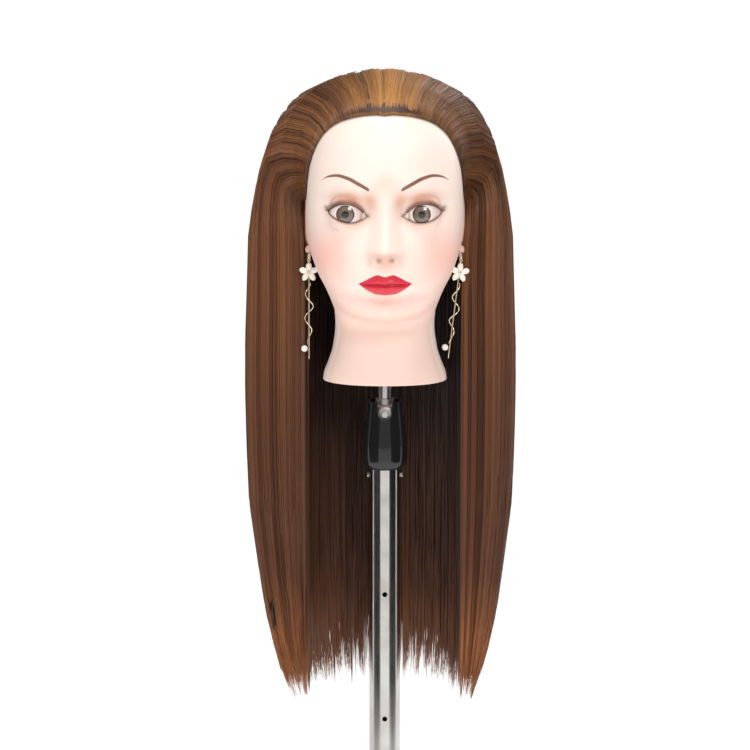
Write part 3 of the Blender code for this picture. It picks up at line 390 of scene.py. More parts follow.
def material(name):
    """Each material is made once, when a piece first needs it."""
    makers = {
        "skin": skin_material,
        "eye": eye_material,
        "hair": hair_material,
        "gold": lambda: metal_material(
            "pale_gold", (0.93, 0.80, 0.56), (0.86, 0.70, 0.44), 0.16, scale=900.0
        ),
        "silver": lambda: metal_material("bright_silver", (0.92, 0.90, 0.87), (0.80, 0.78, 0.74), 0.10),
        "chrome": lambda: metal_material("polished_chrome", (0.60, 0.59, 0.56), (0.46, 0.44, 0.40), 0.12),
        "steel": lambda: metal_material("bright_steel", (0.56, 0.55, 0.54), (0.42, 0.41, 0.39), 0.24),
        "casting": lambda: metal_material(
            "grey_die_casting", (0.42, 0.41, 0.40), (0.30, 0.29, 0.28), 0.42, (1, 1, 1), 350.0
        ),
        "brass": lambda: metal_material("brass", (0.78, 0.60, 0.28), (0.62, 0.44, 0.18), 0.28),
        "gloss": lambda: plastic_material(
            "black_gloss_plastic", (0.010, 0.010, 0.011), 0.07, 0.04, 200.0, 0.06
        ),
        "moulded": lambda: plastic_material("black_moulded_plastic", (0.022, 0.022, 0.024), 0.42),
        "paint": lambda: plastic_material("black_painted_steel", (0.020, 0.020, 0.023), 0.30, 0.3, 300.0),
        "rubber": lambda: plastic_material("black_rubber", (0.020, 0.020, 0.020), 0.75, 0.8, 400.0),
        "pearl": pearl_material,
        "plain_skin": lambda: plastic_material("ear_vinyl", (0.80, 0.47, 0.38), 0.45, 0.1),
        "lid": lambda: plastic_material("painted_lid", (0.10, 0.035, 0.022), 0.35, 0.1),
        "enamel": enamel_material,
    }
    if name not in MATERIALS:
        MATERIALS[name] = makers[name]()
    return MATERIALS[name]


def pearl_material():
    nodes = Nodes("pearl", 0.14, Coat_Weight=0.8, Coat_Roughness=0.06, Sheen_Weight=0.25)
    lustre = nodes.noise(120.0, 3.0)
    return nodes.colour(nodes.mix(lustre, (0.92, 0.84, 0.76), (0.86, 0.83, 0.88))).material


def enamel_material():
    nodes = Nodes("white_enamel", 0.12, Coat_Weight=0.7, Coat_Roughness=0.04, Specular_IOR_Level=0.6)
    cloud = nodes.noise(350.0, 3.0)
    nodes.colour(nodes.mix(cloud, (0.92, 0.90, 0.86), (0.80, 0.77, 0.72)))
    return nodes.bump(cloud, 0.0001, 0.5).material


# Head, in millimetres from the middle of the neck's lower rim: right, back, up

HEAD_TOP = 272.0
HEAD_POWER = 2.2  # how square the head is seen from above, where 2 is an ellipse
HEAD_COLUMNS = 264
HALF_WIDTH = smooth_curve(
    [(0, 56.5), (6, 55.6), (16, 51.8), (30, 47.5), (50, 45.2), (64, 45.4), (74, 48.4), (87, 54.4)]
    + [(101, 61.5), (125, 69.0), (155, 71.6), (190, 70.0), (220, 63.4), (245, 50.4), (260, 35.9)]
    + [(269, 18.6), (272, 4.1)]
)
FRONT = smooth_curve(
    [(0, -50.0), (30, -46.0), (48, -44.0), (57, -55.0), (62.5, -79.0), (70, -89.6), (78, -91.5), (86, -88.6)]
    + [(95.5, -93.0), (108, -92.0), (130, -90.0), (158, -87.6), (186, -95.0), (209, -94.5), (235, -83.6)]
    + [(255, -59.9), (266.5, -26.7), (272, -1.9)]
)
BACK = smooth_curve(
    [(0, 58.0), (30, 51.0), (60, 53.0), (90, 66.0), (120, 85.0), (150, 98.0), (180, 103.0), (209, 99.5)]
    + [(235, 85.2), (255, 60.4), (266.5, 32.7), (272, 11.9)]
)
WALL = 3.5
LINING = 1000.0  # the inner wall is spun this much higher and then moved down
EYE_X, EYE_Z = 33.2, 158.0
EYE_RADIUS = 16.5
EYE_FRONT = -89.2
NO_EYE = 1e3  # stands for no eyeball in front of a point
EAR_X = 67.5
LID_IN, LID_OUT = 17.0, 50.0  # the corners of the eye, from the middle of the face
NOSE_RIDGE = smooth_curve(
    [(98, 0), (106, 0.6), (110, 4.4), (114, 10.2), (119, 16.6), (124, 20.8), (127.5, 21.8), (132, 20.0)]
    + [(140, 15.0), (150, 9.6), (160, 5.6), (168, 2.6), (178, 0.4), (186, 0)]
)
NOSE_HALF = smooth_curve(
    [(100, 11.5), (108, 12.0), (118, 11.8), (127, 10.6), (138, 8.6), (150, 7.4), (170, 8.4)]
)
LIP_TOP = smooth_curve(
    [(0, 103.0), (3, 103.7), (6.5, 104.7), (12, 102.7), (18, 99.4), (24, 96.7), (30, 96.2)]
)
LIP_LINE = smooth_curve([(0, 95.0), (5, 95.7), (12, 95.6), (18, 95.8), (24, 96.6), (30, 96.9)])
LIP_FOOT = smooth_curve([(0, 86.4), (8, 87.2), (14, 89.7), (19, 93.0), (24, 96.5), (30, 97.6)])
LIP_HALF = 24.0
BROW = smooth_curve([(14, 178.6), (24, 184.2), (33, 188.6), (42, 190.6), (50, 189.2), (56, 185.6)])
BROW_HALF = smooth_curve([(13.5, 0.2), (15.5, 1.6), (24, 1.75), (38, 1.35), (50, 0.8), (56.5, 0.15)])

# Soft spots of the face. Each has its strength, its distance from the middle and its reach across, then its
# height and its reach upward.
SWELLS = (
    (4.2, 0, 25, 97, 16),  # round the mouth
    (3.2, 0, 13, 69, 10),  # chin
    (-2.2, 0, 17, 81, 4.6),  # crease over the chin
    (3.0, 37, 19, 127, 17),  # cheekbone
    (-3.4, 31, 18, 161, 12),  # eye socket
    (-1.6, 13, 6, 168, 9),  # beside the bridge of the nose
    (1.3, 30, 20, 186, 7),  # brow
    (3.8, 9.6, 4.2, 117.5, 5.6),  # wing of the nose
    (-1.5, 15.5, 2.6, 116, 6.5),  # crease round the wing
    (-4.4, 5.8, 2.7, 117.5, 2.6),  # nostril
    (-0.9, 0, 2.6, 107.5, 3.4),  # groove under the nose
    (0.5, 4.6, 2.0, 106.5, 3.6),  # ridge beside the groove
)
# The spot in the crease over the chin is painted shade.
SHADOWS = (
    (0.85, 33, 17, 171, 6.0),  # over the eye
    (0.70, 13, 6, 167, 10),  # beside the bridge of the nose
    (0.30, 0, 11, 184, 9),  # between the brows
    (0.30, 0, 14, 82, 4),  # crease over the chin
)
BLUSH = ((0.95, 54, 21, 117, 24), (0.34, 0, 60, 72, 17))  # cheek and chin

# Where the hairline crosses each height, and how wide it is near the top
SIDE_LINE = smooth_curve(
    [(150, -4), (163, -9), (178, -17), (193, -25), (208, -34), (223, -46), (234, -59), (240, -70)]
)
TOP_LINE = smooth_curve([(234, 44), (240, 31), (242.5, 20), (243, 9), (246, 0)])


def oval_ring(angle, half, front, back, power):
    """Points of a rounded box seen from above: angle 0 is to the right, 90 degrees is at the back."""
    x = half * np.sign(np.cos(angle)) * np.abs(np.cos(angle)) ** (2 / power)
    middle, depth = (front + back) / 2, (back - front) / 2
    return x, middle + depth * np.sign(np.sin(angle)) * np.abs(np.sin(angle)) ** (2 / power)


def lid_edges(x):
    """Heights of the lower and upper edge of the eye's opening."""
    share = np.clip((x - LID_IN) / (LID_OUT - LID_IN), 0, 1)
    arch = 4 * share * (1 - share)
    middle = 154.6 + 3.8 * share
    return middle - 7.0 * arch**0.85, middle + 9.8 * arch**0.75 + 1.2 * arch * (0.5 - share)


def lid_distance(x, z):
    """Roughly how far a point is outside the eye's opening, negative inside it."""
    low, high = lid_edges(x)
    middle, half = (low + high) / 2, np.maximum((high - low) / 2, 0.05)
    inside = np.abs(z - middle) - half
    past = np.maximum(np.maximum(LID_IN - x, x - LID_OUT), 0)
    slope = np.where((x > LID_IN) & (x < LID_OUT), 0.86, 1.0)
    return np.where(past > 0, np.hypot(past, np.maximum(np.abs(z - middle), 0)), inside * slope)


def lip_distance(x, z):
    """How far a point is inside the lips' outline, negative outside it."""
    inside = np.minimum(LIP_TOP(x) - z, z - LIP_FOOT(x)) * 0.9
    return np.where(x < LIP_HALF, inside, -np.hypot(x - LIP_HALF, z - 96.6))


def eye_dome(x, z):
    """How far back the eyeball's front lies, or NO_EYE outside it."""
    reach = EYE_RADIUS**2 - (x - EYE_X) ** 2 - (z - EYE_Z) ** 2
    return np.where(reach > 0, EYE_FRONT + EYE_RADIUS - np.sqrt(np.maximum(reach, 0)), NO_EYE)


def spots(table, side, z):
    """The strength of a table's soft spots at each point."""
    return sum(most * hill(side - out, wide) * hill(z - up, high) for most, out, wide, up, high in table)


def sculpt_face(x, y, z):
    """Moves points of the plain head forward or back into the features of the face."""
    side = np.abs(x)
    facing = ease((-y - 20) / 35)  # only the front of the head
    forward = spots(SWELLS, side, z)
    across = side / NOSE_HALF(z)
    rounded = (0.5 + 0.5 * np.cos(pi * np.clip(across / 2.1, 0, 1))) ** 1.25
    forward += NOSE_RIDGE(z) * np.where(across < 2.1, rounded, 0)
    top, line, foot = LIP_TOP(side), LIP_LINE(side), LIP_FOOT(side)
    fade = np.clip(1 - (side / LIP_HALF) ** 2, 0, 1) ** 0.6
    upper = np.clip((z - line) / np.maximum(top - line, 0.4), 0, 1)
    lower = np.clip((line - z) / np.maximum(line - foot, 0.4), 0, 1)
    forward += 2.9 * fade * np.sin(pi * upper**0.8) * (z > line)
    forward += 3.9 * fade * np.sin(pi * lower**0.85) * (z <= line)
    forward -= 1.9 * hill(z - line, 1.0) * np.clip(1 - (side / (LIP_HALF + 1.5)) ** 4, 0, 1)
    y = y - forward * facing

    gap = lid_distance(side, z)
    lid = eye_dome(side, z) - 1.5 - 0.5 * hill(gap - 1.2, 1.4) + 0.55 * hill(gap - 4.4, 0.9) * (z > EYE_Z)
    near = facing * ease((13.0 - gap) / 10.0) * (lid < NO_EYE / 2)
    blend = 2.2
    share = np.clip(0.5 + 0.5 * (y - lid) / blend, 0, 1)
    wrapped = y * (1 - share) + lid * share - blend * share * (1 - share)
    y = np.where(near > 0, y * (1 - near) + wrapped * near, y)
    behind = eye_dome(side, z) + 2.6
    sunk = np.where(behind < NO_EYE / 2, behind, -70)
    return np.where((gap < 0) & (facing > 0.3), sunk, y)


def snapped(x, z, distance, reach):
    """Pulls points within reach of an outline onto it, and eases those a little further off."""
    step = 0.05
    side = np.abs(x)
    d = distance(side, z)
    gx = (distance(side + step, z) - distance(side - step, z)) / (2 * step)
    gz = (distance(side, z + step) - distance(side, z - step)) / (2 * step)
    size = np.maximum(np.hypot(gx, gz), 0.3)
    away = np.abs(d)
    wanted = np.where(away < reach, 0, np.where(away < 3 * reach, (away - reach) * 1.5, away))
    change = np.sign(d) * (wanted - away) / size
    change = np.where(away < 3 * reach, change, 0)
    return x + np.sign(x) * change * gx / size, z + change * gz / size


def head_rings():
    """Heights of the rings of the head, close together where the face has its detail."""
    rings = list(np.arange(0, 56, 2.4)) + list(np.arange(56, 80, 1.1)) + list(np.arange(80, 200, 0.74))
    rings += list(np.arange(200, 255, 2.2)) + [257, 260, 263, 265.5, 267.5, 269, 270.3, 271.2, 271.8]
    return rings


def paint_head(mesh, x, y, z, shown):
    """Stores how much of each paint and of the painted shade every point has."""
    side = np.abs(x)
    face = (y < -20) & shown
    gap = lid_distance(side, z)
    low, high = lid_edges(side)
    above = z > (low + high) / 2
    outward = ease((side - 30) / 20)
    liner = np.where(above, ease((4.6 - gap) / 3.4), ease((1.8 - gap) / 1.8) * 0.8) * (0.86 + 0.14 * outward)
    wing = hill(z - 160.5 - 0.25 * (side - 50), 2.2) * ease((side - 44) / 5) * ease((56 - side) / 5)
    # Painted shade in the nostrils, stored with the eye liner.
    nostril = 0.55 * hill(side - 5.8, 2.6) * hill(z - 118.5, 2.4)
    # Salmon paint with painted shade under the nose, a painted shadow where the chin shades the neck, and
    # painted shade on the neck below the chin.
    nose_underside_paint_and_shade = ease((127 - z) / 5) * ease((z - 106) / 10) * hill(side, 13.5 - 0.2 * np.abs(z - 120))
    painted_jaw_shadow = hill(z - 60 - 15 * (side / 44) ** 2, 4.0) * ease((50 - side) / 12)
    shadow = spots(SHADOWS, side, z) + 0.60 * hill(gap, 4.6) + 1.0 * (gap < 0)
    shadow += 0.80 * nose_underside_paint_and_shade + 0.34 * painted_jaw_shadow + 0.26 * ease((62 - z) / 12)
    blush = spots(BLUSH, side, z) + 0.14 * ease((110 - z) / 30)
    line_y, line_x = SIDE_LINE(z), TOP_LINE(z)
    behind = ease((y - line_y - 2.5) / 4) * (z > 150)
    behind = np.where((z > 238) & (side < line_x - 1), 0, np.maximum(behind, ease((z - 243) / 3)))
    brow_gap = BROW_HALF(side) - np.abs(z - BROW(side))
    brow_gap = np.where((side > 13.4) & (side < 57), brow_gap, -5)
    lips = lip_distance(side, z)
    store(mesh, "lip_edge", np.where(face, lips, -5))
    store(mesh, "brow_edge", np.where(face, brow_gap, -5))
    # The liner attribute holds the eye liner, the painted shade of the nostrils and, off the face, the
    # darkened scalp behind the hairline.
    paint = np.maximum(np.maximum(liner, 0.8 * wing), nostril)
    store(mesh, "liner", np.where(face, np.clip(paint, 0, 1), np.where(shown, behind, 0)))
    store(mesh, "shadow", np.where(face, np.clip(shadow, 0, 1), 0))
    store(mesh, "blush", np.where(face, np.clip(blush, 0, 1), 0))


def build_head():
    """Spins a plain closed shell, shapes it into the head and stores the paint of each point."""
    outer = head_rings()
    inner = list(np.linspace(0, 250, 16))
    bm = bmesh.new()
    verts = [bm.verts.new((0, 0, HEAD_TOP))]
    verts += [bm.verts.new((60.0, 0, z)) for z in reversed(outer)]
    verts += [bm.verts.new((30.0, 0, LINING + z)) for z in inner] + [bm.verts.new((0, 0, LINING + 260))]
    edges = [bm.edges.new(pair) for pair in zip(verts, verts[1:])]
    spun(bm, verts + edges, HEAD_COLUMNS, 1e-4)
    obj = new_piece("head_skin", bm, material("skin"))
    points = joined_points(obj)
    inside = points[:, 2] > LINING - 100
    z = np.where(inside, points[:, 2] - LINING, points[:, 2])
    pole = np.hypot(points[:, 0], points[:, 1]) < 1e-3
    turn = np.arctan2(points[:, 1], points[:, 0])
    front = np.abs(turn + pi / 2) / (pi / 2)  # 0 in the middle of the face, 1 at the sides, more behind
    eased = np.where(front < 1, 0.70 * front + 0.30 * front**3, front)
    turn = np.where(front < 1, -pi / 2 + np.sign(turn + pi / 2) * eased * pi / 2, turn)
    level = np.clip(z, 0, HEAD_TOP)
    x, y = oval_ring(turn, HALF_WIDTH(level), FRONT(level), BACK(level), HEAD_POWER)

    shown = ~inside & ~pole
    near = shown & (y < -30)
    x[near], z[near] = snapped(x[near], z[near], lid_distance, 0.42)
    x[near], z[near] = snapped(x[near], z[near], lip_distance, 0.34)
    y = np.where(shown, sculpt_face(x, y, z), y)

    under_chin = np.minimum(level, np.where(level < 90, 49, level))
    hollow_front = np.where(level < 90, FRONT(under_chin), FRONT(level))
    hollow = (HALF_WIDTH(level) - WALL, hollow_front + WALL, BACK(level) - WALL)
    hx, hy = oval_ring(turn, *hollow, HEAD_POWER)
    x, y = np.where(inside, hx, x), np.where(inside, hy, y)
    x, y = np.where(pole, 0, x), np.where(pole, (FRONT(level) + BACK(level)) / 2, y)

    mesh = obj.data
    paint_head(mesh, x, y, z, shown)
    placed = np.column_stack([x, y, z]) * MM + np.array(NECK)
    mesh.vertices.foreach_set("co", placed.ravel())
    mesh.update()
    bm = bmesh.new()
    bm.from_mesh(mesh)
    bmesh.ops.recalc_face_normals(bm, faces=bm.faces)
    bm.to_mesh(mesh)
    bm.free()
    return place_on(obj, "head", "vinyl_skin", "head_shell")


def build_eyes():
    """A domed oval behind each opening of the face."""
    for name, node, side in (("eye_front_right", "eye_right", -1), ("eye_front_left", "eye_left", 1)):
        bm = bmesh.new()
        bmesh.ops.create_uvsphere(bm, u_segments=96, v_segments=64, radius=EYE_RADIUS * MM)
        turn = Matrix.Rotation(radians(90), 4, "X")
        centre = NECK + Vector((side * EYE_X, EYE_FRONT + EYE_RADIUS, EYE_Z)) * MM
        moved(bm, centre, turn)
        geom = bm.verts[:] + bm.edges[:] + bm.faces[:]
        bmesh.ops.bisect_plane(bm, geom=geom, plane_co=centre, plane_no=(0, 1, 0), clear_outer=True)
        bmesh.ops.holes_fill(bm, edges=bm.edges, sides=0)
        obj = new_piece(name, bm, material("eye"), 60)
        points = (joined_points(obj) - np.array(NECK)) / MM
        reach = np.hypot(points[:, 0] - side * (33.4 - 1.6 * side), points[:, 2] - (EYE_Z - 1.0)) / 7.9
        store(obj.data, "iris_reach", np.where(points[:, 1] > EYE_FRONT + 12, 3.0, reach))
        gap = lid_distance(np.abs(points[:, 0]), points[:, 2])
        points[:, 1] += 1.6 * np.clip(gap - 1.2, 0, 8)
        obj.data.vertices.foreach_set("co", (points * MM + np.array(NECK)).ravel())
        place_on(obj, "head", "eye", node)


def build_lid_rims():
    """The thickened, painted edges of the lids."""
    for side, word in ((-1, "right"), (1, "left")):
        places = LID_IN + (LID_OUT - LID_IN) * (0.5 - 0.5 * np.cos(np.linspace(0, pi, 40)))
        low, high = lid_edges(places)
        for part, heights, radius in (("upper_lid", high, 0.85), ("lower_lid", low, 0.50)):
            y = np.minimum(eye_dome(places, heights), EYE_FRONT + 11.5) - 0.7
            points = np.column_stack([side * places, y, heights]) * MM + np.array(NECK)
            radii = radius * (0.45 + 0.55 * np.sin(np.linspace(0, pi, 40)) ** 0.6) * MM
            place_on(tube_piece(f"{part}_{word}", [(points, radii)], 8, "lid"), "head", "vinyl_skin")


def build_ears():
    """A dished oval and a lobe on each side of the head."""
    for side, word in ((-1, "right"), (1, "left")):
        bm = bmesh.new()
        bmesh.ops.create_uvsphere(bm, u_segments=72, v_segments=48, radius=1.0)
        for vert in bm.verts:
            x, y, z = vert.co
            rim = y * y + z * z
            dish = 0.45 * hill(rim - 0.30, 0.22) - 0.12 * hill(rim - 0.62, 0.10)
            vert.co.x = x * 7.5 * (1 - (dish if x * side > 0 else 0))
            vert.co.y = y * 16.5 + 0.16 * z * 16.5
            vert.co.z = z * 30.5
        moved(bm, NECK + Vector((side * EAR_X, 17, 144)) * MM, Matrix.Diagonal((MM, MM, MM, 1)))
        obj = new_piece(f"ear_{word}", bm, material("plain_skin"))
        place_on(obj, "head", "vinyl_skin")
        bm = bmesh.new()
        bmesh.ops.create_uvsphere(bm, u_segments=40, v_segments=28, radius=4.8 * MM)
        moved(bm, NECK + Vector((side * EAR_X, 1, 118)) * MM)
        place_on(new_piece(f"ear_lobe_{word}", bm, material("plain_skin")), "head", "vinyl_skin")


# Hair, in millimetres from the same place as the head

HAIR_TOP = 281.5
HAIR_SHARE = smooth_curve(
    [(-300, 0.68), (-273, 0.765), (-216, 0.87), (-162, 0.93), (-108, 0.98), (0, 1.0), (121, 0.965)]
    + [(172, 0.905), (207, 0.835), (228, 0.775), (253, 0.65), (267.5, 0.47), (276.5, 0.28), (281.5, 0.06)]
)
HAIR_FRONT = smooth_curve(
    [(-300, -45.5), (0, -45.6), (120, -50.0), (179, -75.4), (211, -99.5), (236, -93.2), (253, -78.8)]
    + [(264, -55.8), (274.5, -27.0), (281.5, -2.9)]
)
HAIR_BACK = smooth_curve(
    [(-300, 98.3), (-162, 108.1), (0, 115.0), (100, 117.9), (152, 120.5), (180, 120.5), (211, 115.6)]
    + [(236, 100.6), (257, 75.3), (270, 45.4), (281.5, 10.9)]
)
HAIR_RIGHT, HAIR_LEFT = 129.0, 121.0
HAIR_POWER = 2.4
TIP_LOW, TIP_HIGH = -304, -180
LOCKS = 15  # how many locks the tips gather into
STRAND_SIDES = 3
NEAREST, FARTHEST, HALVINGS = 20.0, 190.0, 18  # limits and steps of the search from the skull's middle
INNER_TOP = 126.0
SHOULDER = 128.0  # above this height the hair lies round the skull, below it hangs
EDGE_SHARE = 0.72  # the share of each side's hair that reaches the outside
SKULL = np.array([0.0, 10.0, 140.0])
WHORL = np.array([0.0, 62.0, 110.0])
HAIRLINE = np.array(
    [(0, -77, 240.5), (9, -77, 243), (20, -75, 242.5), (31, -70, 240), (44, -59, 234), (56, -46, 223)]
    + [(63, -34, 208), (66, -25, 193), (67.5, -17, 178), (68.5, -9, 163)],
    float,
)
LINE_AT = np.append(0, np.cumsum(np.linalg.norm(np.diff(HAIRLINE, axis=0), axis=1)))
LINE_CURVES = [smooth_curve(list(zip(LINE_AT / LINE_AT[-1], HAIRLINE[:, axis]))) for axis in range(3)]


def hair_half(x, z):
    return np.where(x < 0, HAIR_RIGHT, HAIR_LEFT) * HAIR_SHARE(z)


def reach_of(directions, half, front, back, power, top):
    """How far from the skull's middle each unit direction meets a surface made of oval rings."""
    low = np.full(directions.shape[:-1], NEAREST)
    high = np.full(directions.shape[:-1], FARTHEST)
    for _ in range(HALVINGS):
        middle = (low + high) / 2
        point = SKULL + directions * middle[..., None]
        z = point[..., 2]
        centre, depth = (front(z) + back(z)) / 2, (back(z) - front(z)) / 2
        value = np.abs(point[..., 0] / half(point[..., 0], z)) ** power
        value = value + np.abs((point[..., 1] - centre) / depth) ** power
        inside = (value < 1) & (z < top)
        low, high = np.where(inside, middle, low), np.where(inside, high, middle)
    return low


def scalp_reach(directions):
    return reach_of(directions, lambda x, z: HALF_WIDTH(z), FRONT, BACK, HEAD_POWER, HEAD_TOP)


def hull_reach(directions):
    return reach_of(directions, hair_half, HAIR_FRONT, HAIR_BACK, HAIR_POWER, HAIR_TOP)


def hanging(v, k, z):
    """A place in the open ring of hanging hair: v from the right (-1) round the back to the left (1),
    k from the inside (0) to the outside (1)."""
    bend = 2 / HAIR_POWER
    centre, depth = (HAIR_FRONT(z) + HAIR_BACK(z)) / 2, (HAIR_BACK(z) - HAIR_FRONT(z)) / 2
    last = pi / 2 + np.arcsin(np.clip((centre - 3) / depth, 0, 1) ** (HAIR_POWER / 2))
    turn = v * last
    sides = np.sign(np.sin(turn)) * np.abs(np.sin(turn)) ** bend
    outer_x = sides * hair_half(v, z)
    outer_y = centre + depth * np.sign(np.cos(turn)) * np.abs(np.cos(turn)) ** bend
    inner = v * pi / 2
    inner_x = 70 * np.sign(v) * np.abs(np.sin(inner)) ** bend
    inner_y = 3 + 69 * np.abs(np.cos(inner)) ** bend
    return np.stack([inner_x + (outer_x - inner_x) * k, inner_y + (outer_y - inner_y) * k, z + 0 * v], -1)


def strand_paths(u, row, end, sunk, crown_points, hanging_points, lock=0.0):
    """Paths of strands from their roots to their tips.

    u runs from the right temple (-1) to the left (1) along the hairline, row from the hairline (0) to the
    whorl (1), end is the height of the tip, and sunk how far under the outside the strand lies."""
    side = np.where(u < 0, -1.0, 1.0)
    share = np.abs(u)
    v = side * np.minimum(share / EDGE_SHARE, 1)
    k = 1 - np.clip((share - EDGE_SHARE) / (1 - EDGE_SHARE), 0, 1)
    root = np.column_stack([curve(share) for curve in LINE_CURVES])
    root[:, 0] *= side
    root -= SKULL
    root = root * (1 - row[:, None]) + WHORL * row[:, None]
    target = hanging(v, k, np.full_like(u, SHOULDER)) - SKULL
    comb = np.column_stack([u * 34, 88 - 42 * share, 52 - 44 * share]) * (1 - 0.6 * row[:, None])
    fall = np.column_stack([side * 6 * share, -10 * share, 86 - 62 * share]) * (1 - 0.5 * row[:, None])
    t = np.linspace(0, 1, crown_points)[None, :, None] ** 1.3
    ends = (root, root + comb, target + fall, target)
    first, second, third, last = (place[:, None] for place in ends)
    path = first * (1 - t) ** 3 + 3 * second * t * (1 - t) ** 2 + 3 * third * t * t * (1 - t) + last * t**3
    unit = path / np.linalg.norm(path, axis=-1, keepdims=True)
    scalp, hull = scalp_reach(unit), hull_reach(unit)
    wanted = np.linalg.norm(target, axis=-1)
    full = np.clip((wanted - scalp[:, -1]) / np.maximum(hull[:, -1] - scalp[:, -1], 1), 0, 1)
    lift = ease(t[..., 0] / (0.30 + 0.25 * share[:, None]) + 0.04) * full[:, None]
    at_front = (share > EDGE_SHARE)[:, None]
    depth = sunk[:, None] * ease(t[..., 0] * 4)
    back = 1.4 * depth * at_front
    depth = depth * ~at_front
    reach = np.maximum(scalp + 1.2 + (hull - scalp) * lift - depth, scalp + 0.9)
    crown = SKULL + unit * reach[..., None]
    crown[..., 1] += back
    low = np.linspace(0, 1, hanging_points + 1)[None, 1:]
    z = SHOULDER + (end[:, None] - SHOULDER) * low
    gathered = ease((-z - 120) / 150)
    centre = (np.floor(v * LOCKS) + 0.5) / LOCKS
    v_low = v[:, None] + (centre - v)[:, None] * gathered * lock
    across = np.clip(k * (1 - sunk / 52), 0.0, 1.0)[:, None] + 0 * z
    thin = hanging(np.clip(v_low, -1, 1), across, z)
    thin[..., 1] += at_front * sunk[:, None] * 1.4
    return np.concatenate([crown, thin], axis=1)


def build_hair(settings):
    """Three layers of strands and the bed under them, bending from the head into the lengths."""
    dice = np.random.default_rng(20)
    layers = [
        ("outer_hair", settings.outer, 0.0, 9, 8, (0.26, 0.44), 4),
        ("under_hair", settings.under, 3.5, 7, 5, (0.40, 0.62), 2),
        ("inner_hair", settings.inner, 0.0, 0, 0, (0.45, 0.75), 1),
    ]
    pieces = []
    for name, count, sunk, crown_points, low_points, thick, parts in layers:
        u = (np.arange(count) + dice.random(count)) / count * 2 - 1
        clump = np.floor(u * 46 + 0.35 * np.sin(u * 31)).astype(int)
        clump_dice = np.random.default_rng(5)
        lump = np.clip(clump_dice.normal(0, 1, 200), -2, 2)[clump % 200]
        shade = clump_dice.random(200)[(clump * 7) % 200]
        tip = TIP_LOW + 44 * dice.random(count) ** 1.6 + 16 * np.abs(lump)
        short = dice.random(count) < 0.30
        tip = np.where(short, -300 + 110 * dice.random(count), tip)
        tip = np.clip(tip, TIP_LOW, TIP_HIGH)
        if name == "inner_hair":
            z = np.linspace(0, 1, 8)[None, :]
            heights = INNER_TOP + (tip - INNER_TOP)[:, None] * z
            inside = 0.02 + 0.55 * dice.random(count) ** 2
            paths = hanging(u[:, None] + 0 * heights, inside[:, None] + 0 * heights, heights)
            paths[:, 0] = paths[:, 0] * 0.97 + np.array([0, 1.5, 4])
        else:
            at_line = dice.random(count) < 0.55
            row = np.where(at_line, 0.02 * dice.random(count), dice.random(count) ** 1.3 * 0.8)
            row = np.where(np.abs(u) > 0.7, row * 0.25, row)
            depth = np.clip(sunk + 1.3 + 0.9 * lump + 0.9 * dice.normal(0, 1, count), 0.1, 9)
            paths = strand_paths(u, row, tip, depth, crown_points, low_points, settings.gather)
        count, length = paths.shape[:2]
        along = np.linspace(0, 1, length)[None, :]
        wave = dice.random(count)[:, None] * 6.3
        drift = 0.8 * np.sin(along * 7 + wave) * ease(along * 3)
        paths[..., 0] += drift * np.cos(np.arctan2(paths[..., 0], paths[..., 1]))
        paths[..., 2] = np.minimum(paths[..., 2], HAIR_TOP - 0.3)
        taper = np.clip(np.minimum(0.55 + along * 6, (1.03 - along) * 5), 0.12, 1)
        radii = dice.uniform(*thick, count)[:, None] * taper
        tone = np.clip(0.15 + 0.55 * shade + 0.45 * dice.random(count), 0, 1)[:, None] + 0 * along
        x, y, z = paths[..., 0], paths[..., 1], paths[..., 2]
        tone = tone * (1 - 0.45 * ease((120 - z) / 200))
        # Painted highlight on the top of the hair and on its upper sides, where the light from above falls;
        # stronger on some clumps.
        painted_highlight = hill(x - 2, 34) * ease((z - 215) / 40) * ease((50 - y) / 60) * (0.55 + 0.6 * shade[:, None])
        painted_highlight = painted_highlight + 0.35 * hill(np.abs(x) - 62, 22) * hill(z - 225, 22) * shade[:, None]
        tips = ease((-z - 185) / 95) * (0.45 + 0.55 * dice.random(count))[:, None]
        # Painted shade: the under layer is darkened beneath the outer layer, and the inner layer, which faces
        # the neck, more so higher up.
        dark = np.zeros_like(x)
        if name == "under_hair":
            dark = dark + 0.45
        if name == "inner_hair":
            dark = 0.55 + 0.45 * ease((z + 150) / 160)
        world = paths * MM + np.array(NECK)
        for part in range(parts):
            pick = slice(part, None, parts)
            strands = list(zip(world[pick], radii[pick] * MM))
            obj = tube_piece(f"{name}_{part + 1}", strands, STRAND_SIDES, "hair")
            for key, values in (("tone", tone), ("painted_highlight", painted_highlight), ("tip", tips), ("depth", dark)):
                store(obj.data, key, np.repeat(np.clip(values[pick], 0, 1).ravel(), STRAND_SIDES))
            pieces.append(obj)
    pieces.append(build_hair_bed())
    for obj in pieces:
        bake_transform(obj)
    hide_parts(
        "hair_crown",
        "hair_side_right",
        "hair_side_left",
        "hair_length_right",
        "hair_length_left",
        "hair_back_length",
    )


